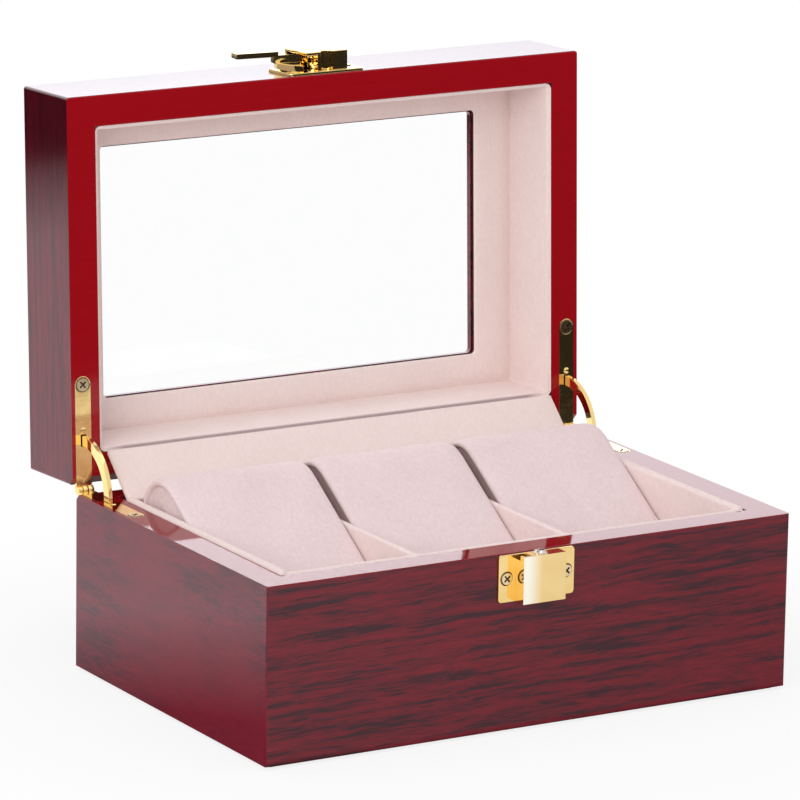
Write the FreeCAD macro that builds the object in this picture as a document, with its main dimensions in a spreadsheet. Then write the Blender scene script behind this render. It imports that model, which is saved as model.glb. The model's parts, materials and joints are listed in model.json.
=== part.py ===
"""Watch box: mitred wood base, glazed lid on quadrant hinges, gilt catch, velvet linings, three pillows."""
import FreeCAD, Part
import math
import os

# Driving dimensions in millimetres, angles in degrees.
SIZES = {
    # wooden shell
    "box_width": 200.0,
    "box_depth": 132.0,
    "wall": 10.6,
    "base_height": 60.0,
    "lid_height": 31.0,
    "rim_gap": 0.4,
    "rear_bevel": 2.7,
    "bottom_thickness": 5.0,
    "felt_thickness": 1.2,
    "felt_inset": 3.0,
    "lid_top_thickness": 4.4,
    # window
    "window_width": 146.6,
    "window_depth": 86.0,
    "window_radius": 1.5,
    "glass_thickness": 2.0,
    "glass_lap": 2.5,
    # velvet linings
    "floor_liner": 2.0,
    "side_liner": 3.5,
    "front_liner": 3.0,
    "back_liner": 4.6,
    "lip_height": 1.0,
    "lip_radius": 1.5,
    "divider_thickness": 2.2,
    "divider_drop": 4.7,
    "divider_radius": 0.9,
    "lid_liner": 1.3,
    "lid_liner_setback": 0.7,
    "lid_border": 1.6,
    # hinges
    "open_angle": 92.4,
    "hinge_standoff": 1.6,
    "leaf_length": 37.4,
    "leaf_width": 5.9,
    "leaf_thickness": 1.2,
    "leaf_edge": 1.4,
    "leaf_screw_radius": 2.75,
    "rivet_radius": 1.1,
    "knuckle_radius": 1.4,
    "knuckle_length": 1.9,
    "knuckle_gap": 0.1,
    "hinge_pin_radius": 0.65,
    "running_gap": 0.05,
    "stay_radius": 17.0,
    "stay_width": 3.5,
    "stay_thickness": 1.5,
    "stay_lap": 4.0,
    "stay_gap": 0.3,
    # screws
    "screw_head_radius": 2.5,
    "screw_head_depth": 1.0,
    "screw_shank_radius": 1.1,
    "screw_length": 8.0,
    # catch on the base and latch on the lid
    "plate_width": 29.0,
    "plate_height": 16.0,
    "plate_thickness": 1.0,
    "plate_radius": 1.2,
    "plate_rim_gap": 0.3,
    "plate_screw_spread": 11.4,
    "catch_width": 16.2,
    "catch_depth": 6.1,
    "catch_wall": 1.0,
    "catch_pin_radius": 1.5,
    "catch_pin_drop": 0.6,
    "catch_roof_reach": 4.0,
    "stud_radius": 1.45,
    "stud_height": 2.2,
    "housing_height": 15.0,
    "housing_depth": 7.7,
    "housing_wall": 1.2,
    "housing_block": 3.0,
    "housing_block_reach": 3.6,
    "notch_radius": 2.2,
    "pivot_rise": 9.9,
    "pivot_radius": 1.2,
    "lever_gap": 0.4,
    "lever_layer": 2.0,
    "hub_radius": 3.2,
    "claw_gap": 0.3,
    "claw_thickness": 1.5,
    "claw_tip_angle": 44.0,
    "claw_span": 56.0,
    "claw_arm_width": 2.6,
    "lever_tilt": 8.0,
    "neck_width": 3.2,
    "neck_length": 15.0,
    "finger_start": 13.8,
    "finger_length": 15.1,
    "finger_width": 5.2,
    "finger_thickness": 1.8,
    # flap over the hinge line
    "flap_thickness": 2.0,
    "flap_height": 19.6,
    "flap_angle": 47.0,
    "flap_side_gap": 0.3,
    "flap_front_gap": 0.3,
    "flap_seat": 1.8,
    "flap_seat_gap": 0.2,
    # pillows
    "pillow_gap": 0.45,
    "pillow_floor_gap": 0.3,
    "pillow_height": 64.5,
    "pillow_back_gap": 4.4,
    "pillow_front_gap": 7.9,
    "pillow_crown_radius": 13.0,
    "pillow_nose_radius": 11.5,
    "pillow_heel_radius": 9.0,
    "pillow_draw": 1.5,
    "pillow_fullness": 8.0,
    "pillow_cover": 1.4,
    "pillow_recess": 0.9,
    "pillow_board": 1.2,
}

# Lengths and places that follow from the driving dimensions.
PLACES = {
    "half_width": "sizes.box_width / 2",
    "half_depth": "sizes.box_depth / 2",
    "inner_x": "half_width - sizes.wall",
    "inner_y": "half_depth - sizes.wall",
    "rim": "sizes.felt_thickness + sizes.base_height",
    "lid_rim": "rim + sizes.rim_gap",
    "lid_top": "lid_rim + sizes.lid_height",
    "lid_ceiling": "lid_top - sizes.lid_top_thickness",
    "lid_border_face": "lid_ceiling - sizes.lid_border",
    "bottom_top": "sizes.felt_thickness + sizes.bottom_thickness",
    "floor": "bottom_top + sizes.floor_liner",
    "room_x": "inner_x - sizes.side_liner",
    "room_front": "sizes.front_liner - inner_y",
    "room_back": "inner_y - sizes.back_liner",
    "place_width": "(2 * room_x - 2 * sizes.divider_thickness) / 3",
    "place_pitch": "place_width + sizes.divider_thickness",
    "hinge_y": "half_depth + sizes.hinge_standoff",
    "hinge_z": "rim + sizes.rim_gap / 2",
    "leaf_x": "half_width - sizes.leaf_edge - sizes.leaf_width / 2",
    "leaf_end": "half_depth - sizes.leaf_length + sizes.leaf_width / 2",
    "stay_inner": "sizes.stay_radius - sizes.stay_width / 2",
    "stay_outer": "sizes.stay_radius + sizes.stay_width / 2",
    "rivet_y": "hinge_y - stay_outer - sizes.stay_gap - 1.25 * sizes.rivet_radius",
    "stay_span": "sizes.open_angle + 2 * sizes.stay_lap",
    "plate_face": "-half_depth - sizes.plate_thickness",
    "catch_top": "rim - sizes.plate_rim_gap",
    "catch_foot": "catch_top - sizes.plate_height",
    "catch_face": "-half_depth - sizes.catch_depth",
    "catch_pin_z": "rim - sizes.catch_pin_drop",
    "stud_y": "catch_face + sizes.catch_wall + sizes.stud_radius",
    "latch_foot": "lid_rim + sizes.plate_rim_gap",
    "housing_foot": "latch_foot + sizes.plate_rim_gap",
    "housing_top": "housing_foot + sizes.housing_height",
    "housing_face": "-half_depth - sizes.housing_depth",
    "housing_back": "housing_face + sizes.housing_wall",
    "pivot_z": "lid_rim + sizes.pivot_rise",
    "lever_back": "plate_face - sizes.lever_gap",
    "claw_face": "lever_back - sizes.lever_layer",
    "neck_face": "housing_back + sizes.lever_gap",
    "finger_back": "neck_face + sizes.lever_gap",
    "claw_inner": "pivot_z - catch_pin_z + sizes.catch_pin_radius + sizes.claw_gap",
    "claw_outer": "claw_inner + sizes.claw_thickness",
    "flap_y": "room_back + sizes.flap_front_gap + sizes.flap_thickness / 2",
    "back_liner_top": "rim - sizes.flap_seat",
    "flap_z": "back_liner_top + sizes.flap_seat_gap + sizes.flap_thickness / 2",
    "flap_half_width": "inner_x - sizes.lid_liner - sizes.flap_side_gap",
    "pillow_half": "place_width / 2 - sizes.pillow_gap",
    "pillow_foot": "floor + sizes.pillow_floor_gap",
    "pillow_top": "pillow_foot + sizes.pillow_height",
    "pillow_back": "room_back - sizes.pillow_back_gap",
    "pillow_front": "room_front + sizes.pillow_front_gap",
    "pillow_board_face": "pillow_half - sizes.pillow_recess",
    "pillow_core_face": "pillow_board_face - sizes.pillow_board",
}

ALONG_X = FreeCAD.Rotation(FreeCAD.Vector(0, 1, 0), 90)
ALONG_Y = FreeCAD.Rotation(FreeCAD.Vector(1, 0, 0), -90)
ALONG_Z = FreeCAD.Rotation()
TOWARDS_FRONT = FreeCAD.Rotation(FreeCAD.Vector(1, 0, 0), 90)
DOWNWARDS = FreeCAD.Rotation(FreeCAD.Vector(1, 0, 0), 180)
SIDES = {"left": -1, "right": 1}

doc = FreeCAD.newDocument("watch_box")
nodes = []


def fill_sheet(name, cells):
    """A sheet with one aliased cell for each entry."""
    sheet = doc.addObject("Spreadsheet::Sheet", name)
    for row, (alias, content) in enumerate(cells.items(), start=1):
        sheet.set(f"A{row}", alias)
        sheet.set(f"B{row}", content)
        sheet.setAlias(f"B{row}", alias)
    doc.recompute()
    return sheet


sizes = fill_sheet("sizes", {alias: str(value) for alias, value in SIZES.items()})
places = fill_sheet("places", {alias: "=" + formula for alias, formula in PLACES.items()})


def size(alias):
    """A driving dimension as a number."""
    return float(sizes.get(alias))


def place(alias):
    """A derived length as a number."""
    return float(places.get(alias))


def expression(text):
    """A formula with the sheet of each bare alias put before it."""
    out = []
    for word in text.replace("(", " ( ").replace(")", " ) ").split():
        if word in PLACES:
            out.append("places." + word)
        elif word in SIZES:
            out.append("sizes." + word)
        elif word.startswith("-") and word[1:] in PLACES:
            out.append("-places." + word[1:])
        elif word.startswith("-") and word[1:] in SIZES:
            out.append("-sizes." + word[1:])
        else:
            out.append(word)
    return " ".join(out)


def bind(obj, **properties):
    """Tie an object's properties to the sheets."""
    for name, text in properties.items():
        obj.setExpression(name, expression(str(text)))
    return obj


def seat(obj, x, y, z):
    """Tie an object's place to the sheets."""
    for axis, text in zip("xyz", (x, y, z)):
        obj.setExpression("Placement.Base." + axis, expression(str(text)))
    return obj


def block(name, x, y, z):
    """A block between two faces along each axis."""
    obj = doc.addObject("Part::Box", name)
    for edge, (low, high) in zip(("Length", "Width", "Height"), (x, y, z)):
        bind(obj, **{edge: f"( {high} ) - ( {low} )"})
    return seat(obj, x[0], y[0], z[0])


def rod(name, radius, length, turn, x, y, z):
    """A cylinder from a point, along the turned vertical."""
    obj = doc.addObject("Part::Cylinder", name)
    obj.Placement = FreeCAD.Placement(FreeCAD.Vector(), turn)
    bind(obj, Radius=radius, Height=length)
    return seat(obj, x, y, z)


def cut(name, base, *tools):
    """A piece with other shapes taken out of it."""
    obj = doc.addObject("Part::Cut", name)
    obj.Base = base
    obj.Tool = tools[0] if len(tools) == 1 else fuse(name + "_tools", *tools)
    return obj


def fuse(name, *pieces):
    """Several shapes as one."""
    obj = doc.addObject("Part::MultiFuse", name)
    obj.Shapes = list(pieces)
    return obj


def common(name, base, tool):
    """What two shapes share."""
    obj = doc.addObject("Part::Common", name)
    obj.Base = base
    obj.Tool = tool
    return obj


def group(name, *pieces):
    """Separate solids under one name."""
    obj = doc.addObject("Part::Compound", name)
    obj.Links = list(pieces)
    return obj


def soften(name, base, radius, chosen):
    """A piece with the chosen edges rounded."""
    doc.recompute()
    obj = doc.addObject("Part::Fillet", name)
    obj.Base = base
    edges = enumerate(base.Shape.Edges, start=1)
    obj.Edges = [(number, radius, radius) for number, edge in edges if chosen(edge.BoundBox)]
    return obj


def runs_along(axis):
    """A test for edges along one axis."""
    def chosen(box):
        lengths = {"x": box.XLength, "y": box.YLength, "z": box.ZLength}
        return lengths[axis] > 0.99 * box.DiagonalLength
    return chosen


def ring_sector(name, inner, outer, thickness, span, start, sweep_axis, x, y, z):
    """A flat curved bar about a centre, from a start direction round the sweep axis."""
    turn = FreeCAD.Rotation(start, sweep_axis.cross(start), sweep_axis, "ZXY")
    disc = bind(rod(name + "_disc", outer, thickness, turn, x, y, z), Angle=span)
    core = rod(name + "_core", inner, thickness, turn, x, y, z)
    return cut(name, disc, core)


def node(label, obj, placement=None):
    """Register a finished piece under its own name."""
    obj.Label = label
    if placement:
        obj.Placement = placement
    nodes.append(obj)
    return obj


def turned_about(angle, y, z):
    """A turn about a line along X."""
    turn = FreeCAD.Rotation(FreeCAD.Vector(1, 0, 0), angle)
    return FreeCAD.Placement(FreeCAD.Vector(), turn, FreeCAD.Vector(0, y, z))


LID_OPEN = turned_about(-size("open_angle"), place("hinge_y"), place("hinge_z"))
FLAP_OPEN = turned_about(-size("flap_angle"), place("flap_y"), place("flap_z"))


def mitred_board(name, half_length, distance, low, high, quarter_turns):
    """A wall board with mitred ends, its outer face at a distance from the centre."""
    obj = doc.addObject("Part::Wedge", name)
    bind(
        obj,
        Xmin=f"-{half_length}", Xmax=half_length,
        X2min=f"wall - {half_length}", X2max=f"{half_length} - wall",
        Ymin=f"-{distance}", Ymax=f"wall - {distance}",
        Zmin=low, Zmax=high, Z2min=low, Z2max=high,
    )
    obj.Placement = FreeCAD.Placement(
        FreeCAD.Vector(), FreeCAD.Rotation(FreeCAD.Vector(0, 0, 1), 90 * quarter_turns)
    )
    return obj


def bevel_bar(name, z):
    """A diamond bar that takes the rear edge of a wall off at 45 degrees."""
    obj = doc.addObject("Part::Prism", name)
    obj.Polygon = 4
    obj.Placement = FreeCAD.Placement(FreeCAD.Vector(), ALONG_X)
    bind(obj, Circumradius="rear_bevel", Height="box_width")
    return seat(obj, "-half_width", "half_depth", z)


def screw(name, radius, turn, x, y, z):
    """A countersunk screw, its head's top face at a point."""
    head = doc.addObject("Part::Cone", name + "_head")
    head.Placement = FreeCAD.Placement(FreeCAD.Vector(), turn)
    bind(head, Radius1=radius, Radius2="screw_shank_radius", Height="screw_head_depth")
    seat(head, x, y, z)
    shank = rod(name + "_shank", "screw_shank_radius", "screw_length", turn, x, y, z)
    return fuse(name, head, shank)


def rivet(name, turn, x, z):
    """A flush rivet through a hinge leaf, next to the stay's slot."""
    return rod(name, "rivet_radius", "leaf_thickness", turn, x, "rivet_y", z)


def leaf_blank(name, x, low):
    """A hinge leaf's outline: a strip with a round far end, up to the hinge line."""
    strip = block(
        name + "_strip",
        (f"{x} - leaf_width / 2", f"{x} + leaf_width / 2"),
        ("leaf_end", "hinge_y"),
        (low, f"{low} + leaf_thickness"),
    )
    end = rod(name + "_end", "leaf_width / 2", "leaf_thickness", ALONG_Z, x, "leaf_end", low)
    return fuse(name, strip, end)


def along_hinge(name, radius, x, half):
    """A rod on the hinge line, centred on a place across the box."""
    return rod(name, radius, f"2 * ( {half} )", ALONG_X, f"{x} - ( {half} )", "hinge_y", "hinge_z")


def hinge_leaf(label, blank, x, tools, outer_knuckles):
    """A leaf with its share of the knuckle, the pin's bore and the slot and screw holes."""
    room = "knuckle_radius + knuckle_gap"
    middle = along_hinge(label + "_middle_room", room, x, "knuckle_length / 2 + knuckle_gap")
    knuckle = along_hinge(label + "_knuckle", "knuckle_radius", x, "leaf_width / 2")
    if outer_knuckles:
        bore = along_hinge(label + "_bore", "hinge_pin_radius", x, "leaf_width / 2")
        return cut(label, fuse(label + "_whole", blank, knuckle), middle, bore, *tools)
    bore = along_hinge(label + "_bore", "hinge_pin_radius + running_gap", x, "leaf_width / 2")
    sides = along_hinge(label + "_sides_room", room, x, "leaf_width / 2")
    keep = along_hinge(label + "_keep", room, x, "knuckle_length / 2")
    ends_room = cut(label + "_ends_room", sides, keep)
    return cut(label, fuse(label + "_whole", blank, knuckle), ends_room, bore, *tools)


def towards(angle):
    """The direction from the hinge line towards the front, raised by an angle."""
    rise = math.radians(angle)
    return FreeCAD.Vector(0, -math.cos(rise), math.sin(rise))


def stay_bar(name, x, first_angle, span, gap):
    """A hinge's curved stay, or with a gap the way that it slides in."""
    return ring_sector(
        name, f"stay_inner - {gap}", f"stay_outer + {gap}", f"stay_thickness + 2 * {gap}", span,
        towards(first_angle), FreeCAD.Vector(-1, 0, 0),
        f"{x} + stay_thickness / 2 + {gap}", "hinge_y", "hinge_z",
    )


def make_hinges():
    """Both hinges, and what their pieces take out of the wood on each side."""
    base_tools = {}
    lid_tools = {}
    base_screws = []
    lid_screws = []
    base_rivets = []
    lid_rivets = []
    half_way = place("stay_span") / 2 + size("stay_lap")
    for side, sign in SIDES.items():
        x = f"{sign} * leaf_x"
        way = stay_bar(f"stay_way_{side}", x, -half_way, "stay_span + 2 * stay_lap", "stay_gap")
        blanks = {
            "base": leaf_blank(f"base_leaf_blank_{side}", x, "rim - leaf_thickness"),
            "lid": leaf_blank(f"lid_leaf_blank_{side}", x, "lid_rim"),
        }
        head = "leaf_screw_radius"
        base_screw = screw(f"base_screw_{side}", head, DOWNWARDS, x, "leaf_end", "rim")
        lid_screw = screw(f"lid_screw_{side}", head, ALONG_Z, x, "leaf_end", "lid_rim")
        base_rivet = rivet(f"base_rivet_{side}", DOWNWARDS, x, "rim")
        lid_rivet = rivet(f"lid_rivet_{side}", ALONG_Z, x, "lid_rim")
        base_tools[side] = [blanks["base"], way, base_screw]
        lid_tools[side] = [blanks["lid"], way, lid_screw]
        base_screws.append(base_screw)
        lid_screws.append(lid_screw)
        base_rivets.append(base_rivet)
        lid_rivets.append(lid_rivet)
        label = f"hinge_base_leaf_{side}"
        node(label, hinge_leaf(label, blanks["base"], x, [way, base_screw, base_rivet], True))
        label = f"hinge_lid_leaf_{side}"
        node(label, hinge_leaf(label, blanks["lid"], x, [way, lid_screw, lid_rivet], False), LID_OPEN)
        label = f"hinge_pin_{side}"
        node(label, along_hinge(label, "hinge_pin_radius", x, "leaf_width / 2"))
        label = f"hinge_stay_{side}"
        node(label, stay_bar(label, x, -size("stay_lap"), "stay_span", "0"))
    node("hinge_base_screws", group("hinge_base_screws", *base_screws))
    node("hinge_lid_screws", group("hinge_lid_screws", *lid_screws), LID_OPEN)
    node("hinge_base_rivets", group("hinge_base_rivets", *base_rivets))
    node("hinge_lid_rivets", group("hinge_lid_rivets", *lid_rivets), LID_OPEN)
    return base_tools, lid_tools


def make_shell(base_tools, lid_tools, catch_tools, latch_tools):
    """The base's panels and the lid's rails, with their mortises."""
    levels = {
        "base": ("felt_thickness", "rim", "panel", "rim", base_tools, catch_tools, None),
        "lid": ("lid_rim", "lid_top", "rail", "lid_rim", lid_tools, latch_tools, LID_OPEN),
    }
    for part, (low, high, kind, edge, side_tools, front_tools, placement) in levels.items():
        bevel = bevel_bar(f"{part}_bevel", edge)
        front = mitred_board(f"{part}_front_blank", "half_width", "half_depth", low, high, 0)
        back = mitred_board(f"{part}_back_blank", "half_width", "half_depth", low, high, 2)
        node(f"{part}_front_{kind}", cut(f"{part}_front_{kind}", front, *front_tools), placement)
        back_tools = [side_tools[side][0] for side in SIDES]
        node(f"{part}_back_{kind}", cut(f"{part}_back_{kind}", back, bevel, *back_tools), placement)
        for side, sign in SIDES.items():
            label = f"{part}_{side}_{kind}"
            blank = mitred_board(f"{label}_blank", "half_depth", "half_width", low, high, sign)
            node(label, cut(label, blank, bevel, *side_tools[side]), placement)


def make_bottom():
    """The board that closes the base and the felt under it."""
    inside = (("-inner_x", "inner_x"), ("-inner_y", "inner_y"))
    node("base_bottom_panel", block("base_bottom_panel", *inside, ("felt_thickness", "bottom_top")))
    felt = block(
        "felt_blank",
        ("felt_inset - half_width", "half_width - felt_inset"),
        ("felt_inset - half_depth", "half_depth - felt_inset"),
        ("0", "felt_thickness"),
    )
    node("bottom_felt", soften("bottom_felt", felt, size("felt_inset"), runs_along("z")))


def upper_long_edges(axis, top):
    """A test for the edges along one axis at a level."""
    along = runs_along(axis)

    def chosen(box):
        return along(box) and abs(box.ZMin - top) < 0.01
    return chosen


def make_base_linings():
    """The velvet-covered boards that line the base, and the walls between the places."""
    inside_x = ("-inner_x", "inner_x")
    room_y = ("room_front", "room_back")
    floor_board = block("base_liner_floor", inside_x, ("-inner_y", "inner_y"), ("bottom_top", "floor"))
    node("base_liner_floor", floor_board)
    front = block("front_liner_blank", inside_x, ("-inner_y", "room_front"), ("floor", "rim"))
    front_lip = upper_long_edges("x", place("rim"))
    node("base_liner_front", soften("base_liner_front", front, size("front_liner") * 0.4, front_lip))
    back = block("base_liner_back", inside_x, ("room_back", "inner_y"), ("floor", "back_liner_top"))
    node("base_liner_back", back)
    for side, sign in SIDES.items():
        label = f"base_liner_{side}"
        faces = ("-inner_x", "-room_x") if sign < 0 else ("room_x", "inner_x")
        blank = block(label + "_blank", faces, room_y, ("floor", "rim + lip_height"))
        lip = upper_long_edges("y", place("rim") + size("lip_height"))
        node(label, soften(label, blank, size("lip_radius"), lip))
        label = f"divider_{side}"
        middle = f"{sign} * place_pitch / 2"
        wall = (f"{middle} - divider_thickness / 2", f"{middle} + divider_thickness / 2")
        blank = block(label + "_blank", wall, room_y, ("floor", "rim - divider_drop"))
        top = upper_long_edges("y", place("rim") - size("divider_drop"))
        node(label, soften(label, blank, size("divider_radius"), top))


def window_hole(name, margin, low, high):
    """A round-cornered hole through the lid's top, wider than the window by a margin."""
    blank = block(
        name + "_blank",
        (f"-window_width / 2 - {margin}", f"window_width / 2 + {margin}"),
        (f"-window_depth / 2 - {margin}", f"window_depth / 2 + {margin}"),
        (low, high),
    )
    return soften(name, blank, size("window_radius"), runs_along("z"))


def make_lid_top():
    """The frame round the window, the glass in its rebate and the velvet border under it."""
    inside = (("-inner_x", "inner_x"), ("-inner_y", "inner_y"))
    frame = block("lid_top_blank", *inside, ("lid_ceiling", "lid_top"))
    hole = window_hole("frame_hole", "0", "lid_ceiling", "lid_top")
    rebate = window_hole("frame_rebate", "glass_lap", "lid_ceiling", "lid_ceiling + glass_thickness")
    node("lid_top_frame", cut("lid_top_frame", frame, hole, rebate), LID_OPEN)
    pane = window_hole("window_glass", "glass_lap", "lid_ceiling", "lid_ceiling + glass_thickness")
    node("window_glass", pane, LID_OPEN)
    border = block("lid_border_blank", *inside, ("lid_border_face", "lid_ceiling"))
    border_hole = window_hole("border_hole", "0", "lid_border_face", "lid_ceiling")
    node("lid_liner_top", cut("lid_liner_top", border, border_hole), LID_OPEN)


def make_lid_linings():
    """The velvet-covered strips on the lid's inner walls."""
    height = ("lid_rim + lid_liner_setback", "lid_border_face")
    between_y = ("lid_liner - inner_y", "inner_y - lid_liner")
    strips = {
        "front": (("-inner_x", "inner_x"), ("-inner_y", "lid_liner - inner_y")),
        "back": (("-inner_x", "inner_x"), ("inner_y - lid_liner", "inner_y")),
        "left": (("-inner_x", "lid_liner - inner_x"), between_y),
        "right": (("inner_x - lid_liner", "inner_x"), between_y),
    }
    rim_edge = place("lid_rim") + size("lid_liner_setback")
    for side, (x, y) in strips.items():
        label = f"lid_liner_{side}"
        blank = block(label + "_blank", x, y, height)
        along = "x" if side in ("front", "back") else "y"
        edge = upper_long_edges(along, rim_edge)
        node(label, soften(label, blank, size("lid_liner") * 0.45, edge), LID_OPEN)


def face_plate(name, low, screws):
    """A screwed plate on the front of the box."""
    blank = block(
        name + "_blank",
        ("-plate_width / 2", "plate_width / 2"),
        ("plate_face", "-half_depth"),
        (low, f"{low} + plate_height"),
    )
    rounded = soften(name + "_rounded", blank, size("plate_radius"), runs_along("y"))
    return cut(name, rounded, *screws)


def plate_screws(name, low):
    """The two screws of a plate on the front."""
    return [
        screw(
            f"{name}_{side}", "screw_head_radius", ALONG_Y,
            f"{sign} * plate_screw_spread", "plate_face", f"{low} + plate_height / 2",
        )
        for side, sign in SIDES.items()
    ]


def down_and_left(angle):
    """The direction from the latch's pivot, from straight down round to the left."""
    turn = math.radians(angle)
    return FreeCAD.Vector(-math.sin(turn), 0, -math.cos(turn))


def claw_sector(name, gap, first_angle, span):
    """The lever's claw about its pivot, or with a gap the way that it sweeps."""
    return ring_sector(
        name, f"claw_inner - {gap}", f"claw_outer + {gap}", f"lever_layer + 2 * {gap}", span,
        down_and_left(first_angle), FreeCAD.Vector(0, 1, 0), "0", f"claw_face - {gap}", "pivot_z",
    )


def make_catch():
    """The catch on the base: plate, body with a part roof, steel pin with its stud, and screws."""
    screws = plate_screws("catch_screw", "catch_foot")
    node("catch_plate", face_plate("catch_plate", "catch_foot", screws))
    node("catch_screws", group("catch_screws", *screws))
    height = ("catch_foot", "catch_top")
    outside = block(
        "catch_outside", ("-catch_width / 2", "catch_width / 2"), ("catch_face", "plate_face"), height
    )
    inside = block(
        "catch_inside",
        ("catch_wall - catch_width / 2", "catch_width / 2 - catch_wall"),
        ("catch_face + catch_wall", "plate_face"),
        height,
    )
    roof = block(
        "catch_roof",
        ("-catch_roof_reach", "catch_width / 2"),
        ("catch_face", "plate_face"),
        ("catch_top - catch_wall", "catch_top"),
    )
    claw_way = claw_sector("claw_way", "lever_gap", 0, "claw_tip_angle + claw_span")
    length = "plate_face - catch_face - catch_wall"
    bar = rod("catch_bar", "catch_pin_radius", length, TOWARDS_FRONT, "0", "plate_face", "catch_pin_z")
    height = "catch_top - catch_pin_z + stud_height"
    stud = rod("catch_stud", "stud_radius", height, ALONG_Z, "0", "stud_y", "catch_pin_z")
    pin = fuse("catch_pin", bar, stud)
    node("catch_pin", pin)
    whole = fuse("catch_whole", cut("catch_walls", outside, inside), roof)
    node("catch_body", cut("catch_body", whole, claw_way, pin))
    return screws


def make_latch():
    """The latch on the lid: plate, notched housing, pivot pin and screws."""
    screws = plate_screws("latch_screw", "latch_foot")
    node("latch_plate", face_plate("latch_plate", "latch_foot", screws), LID_OPEN)
    node("latch_screws", group("latch_screws", *screws), LID_OPEN)
    across = ("-catch_width / 2", "catch_width / 2")
    deep = ("housing_face", "plate_face")
    high = ("housing_foot", "housing_top")
    right = ("catch_width / 2 - housing_wall", "catch_width / 2")
    cover = block("housing_cover", across, ("housing_face", "housing_back"), high)
    wall = block("housing_side", right, deep, high)
    roof = block("housing_roof", across, deep, ("housing_top - housing_wall", "housing_top"))
    foot = block(
        "housing_foot_block",
        ("-housing_block_reach", "catch_width / 2"),
        deep,
        ("housing_foot", "housing_foot + housing_block"),
    )
    through = "plate_face - housing_face"
    notch = rod("housing_notch", "notch_radius", through, ALONG_Y, "0", "housing_face", "housing_foot")
    whole = fuse("housing_whole", cover, wall, roof, foot)
    node("latch_housing", cut("latch_housing", whole, notch), LID_OPEN)
    length = "plate_face - housing_back"
    pin = rod("pivot_pin", "pivot_radius", length, ALONG_Y, "0", "housing_back", "pivot_z")
    node("latch_pivot_pin", group("latch_pivot_pin", pin), LID_OPEN)
    return screws


def lever_bar(name, first, last, width, back, front, tilt):
    """A flat bar out of the lever's hub, along the left and tilted up."""
    obj = doc.addObject("Part::Box", name)
    bind(obj, Length=f"{last} - {first}", Width=f"( {back} ) - ( {front} )", Height=width)
    rise = math.radians(tilt)
    obj.Placement = FreeCAD.Placement(FreeCAD.Vector(), FreeCAD.Rotation(FreeCAD.Vector(0, 1, 0), tilt))
    along = f"( {last} )"
    across = f"( {width} ) / 2"
    return seat(
        obj,
        f"0 - {along} * {math.cos(rise)!r} - {across} * {math.sin(rise)!r}",
        front,
        f"pivot_z + {along} * {math.sin(rise)!r} - {across} * {math.cos(rise)!r}",
    )


def make_lever():
    """The latch's turning lever: hub, claw, neck and finger piece."""
    tilt = size("lever_tilt")
    hub = rod("lever_hub", "hub_radius", "lever_back - neck_face", ALONG_Y, "0", "neck_face", "pivot_z")
    claw = claw_sector("lever_claw", "0", size("claw_tip_angle"), "claw_span")
    claw_end = size("claw_tip_angle") + size("claw_span")
    root = claw_end - 90 - math.degrees(size("claw_arm_width") / 2 / place("claw_outer"))
    reach = "claw_inner + claw_thickness / 2"
    arm = lever_bar("lever_arm", "0", reach, "claw_arm_width", "lever_back", "claw_face", root)
    neck = lever_bar("lever_neck", "0", "neck_length", "neck_width", "claw_face", "neck_face", tilt)
    tip = "finger_start + finger_length"
    face = "finger_back - finger_thickness"
    finger = lever_bar("lever_finger", "finger_start", tip, "finger_width", "finger_back", face, tilt)
    through = "lever_back - neck_face"
    bore = rod("lever_bore", "pivot_radius + running_gap", through, ALONG_Y, "0", "neck_face", "pivot_z")
    whole = fuse("lever_whole", hub, claw, arm, neck, finger)
    node("latch_lever", cut("latch_lever", whole, bore), LID_OPEN)


def make_flap():
    """The velvet-covered flap on the back liner, leaning back with the lid."""
    across = ("-flap_half_width", "flap_half_width")
    thick = ("flap_y - flap_thickness / 2", "flap_y + flap_thickness / 2")
    panel = block("flap_panel", across, thick, ("flap_z", "flap_z + flap_height"))
    length = "2 * flap_half_width"
    foot = rod("flap_foot", "flap_thickness / 2", length, ALONG_X, "-flap_half_width", "flap_y", "flap_z")
    edge = "flap_z + flap_height"
    top = rod("flap_top", "flap_thickness / 2", length, ALONG_X, "-flap_half_width", "flap_y", edge)
    node("rear_flap", fuse("rear_flap", panel, foot, top), FLAP_OPEN)


def pillow_outline(x, inset):
    """A pillow's side outline: crown, nose and heel rounds joined by straight faces, drawn in by an inset."""
    foot = place("pillow_foot")
    crown, nose, heel = (size(f"pillow_{name}_radius") for name in ("crown", "nose", "heel"))
    rounds = [
        (FreeCAD.Vector(x, place("pillow_back") - crown, place("pillow_top") - crown), crown - inset),
        (FreeCAD.Vector(x, place("pillow_front") + nose, foot + nose), nose - inset),
        (FreeCAD.Vector(x, place("pillow_back") - heel, foot + heel), heel - inset),
    ]
    normals = []
    for (start, start_radius), (end, end_radius) in zip(rounds, rounds[1:] + rounds[:1]):
        along = (end - start).normalize()
        outward = FreeCAD.Vector(0, along.z, -along.y)
        lean = math.asin((start_radius - end_radius) / (end - start).Length)
        normals.append(outward * math.cos(lean) + along * math.sin(lean))
    edges = []
    for index, (centre, radius) in enumerate(rounds):
        arriving, leaving = normals[index - 1], normals[index]
        middle = (arriving + leaving).normalize()
        arc = [centre + direction * radius for direction in (arriving, middle, leaving)]
        following, following_radius = rounds[(index + 1) % len(rounds)]
        edges.append(Part.Arc(*arc).toShape())
        edges.append(Part.LineSegment(arc[2], following + leaving * following_radius).toShape())
    return Part.Wire(edges)


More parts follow.
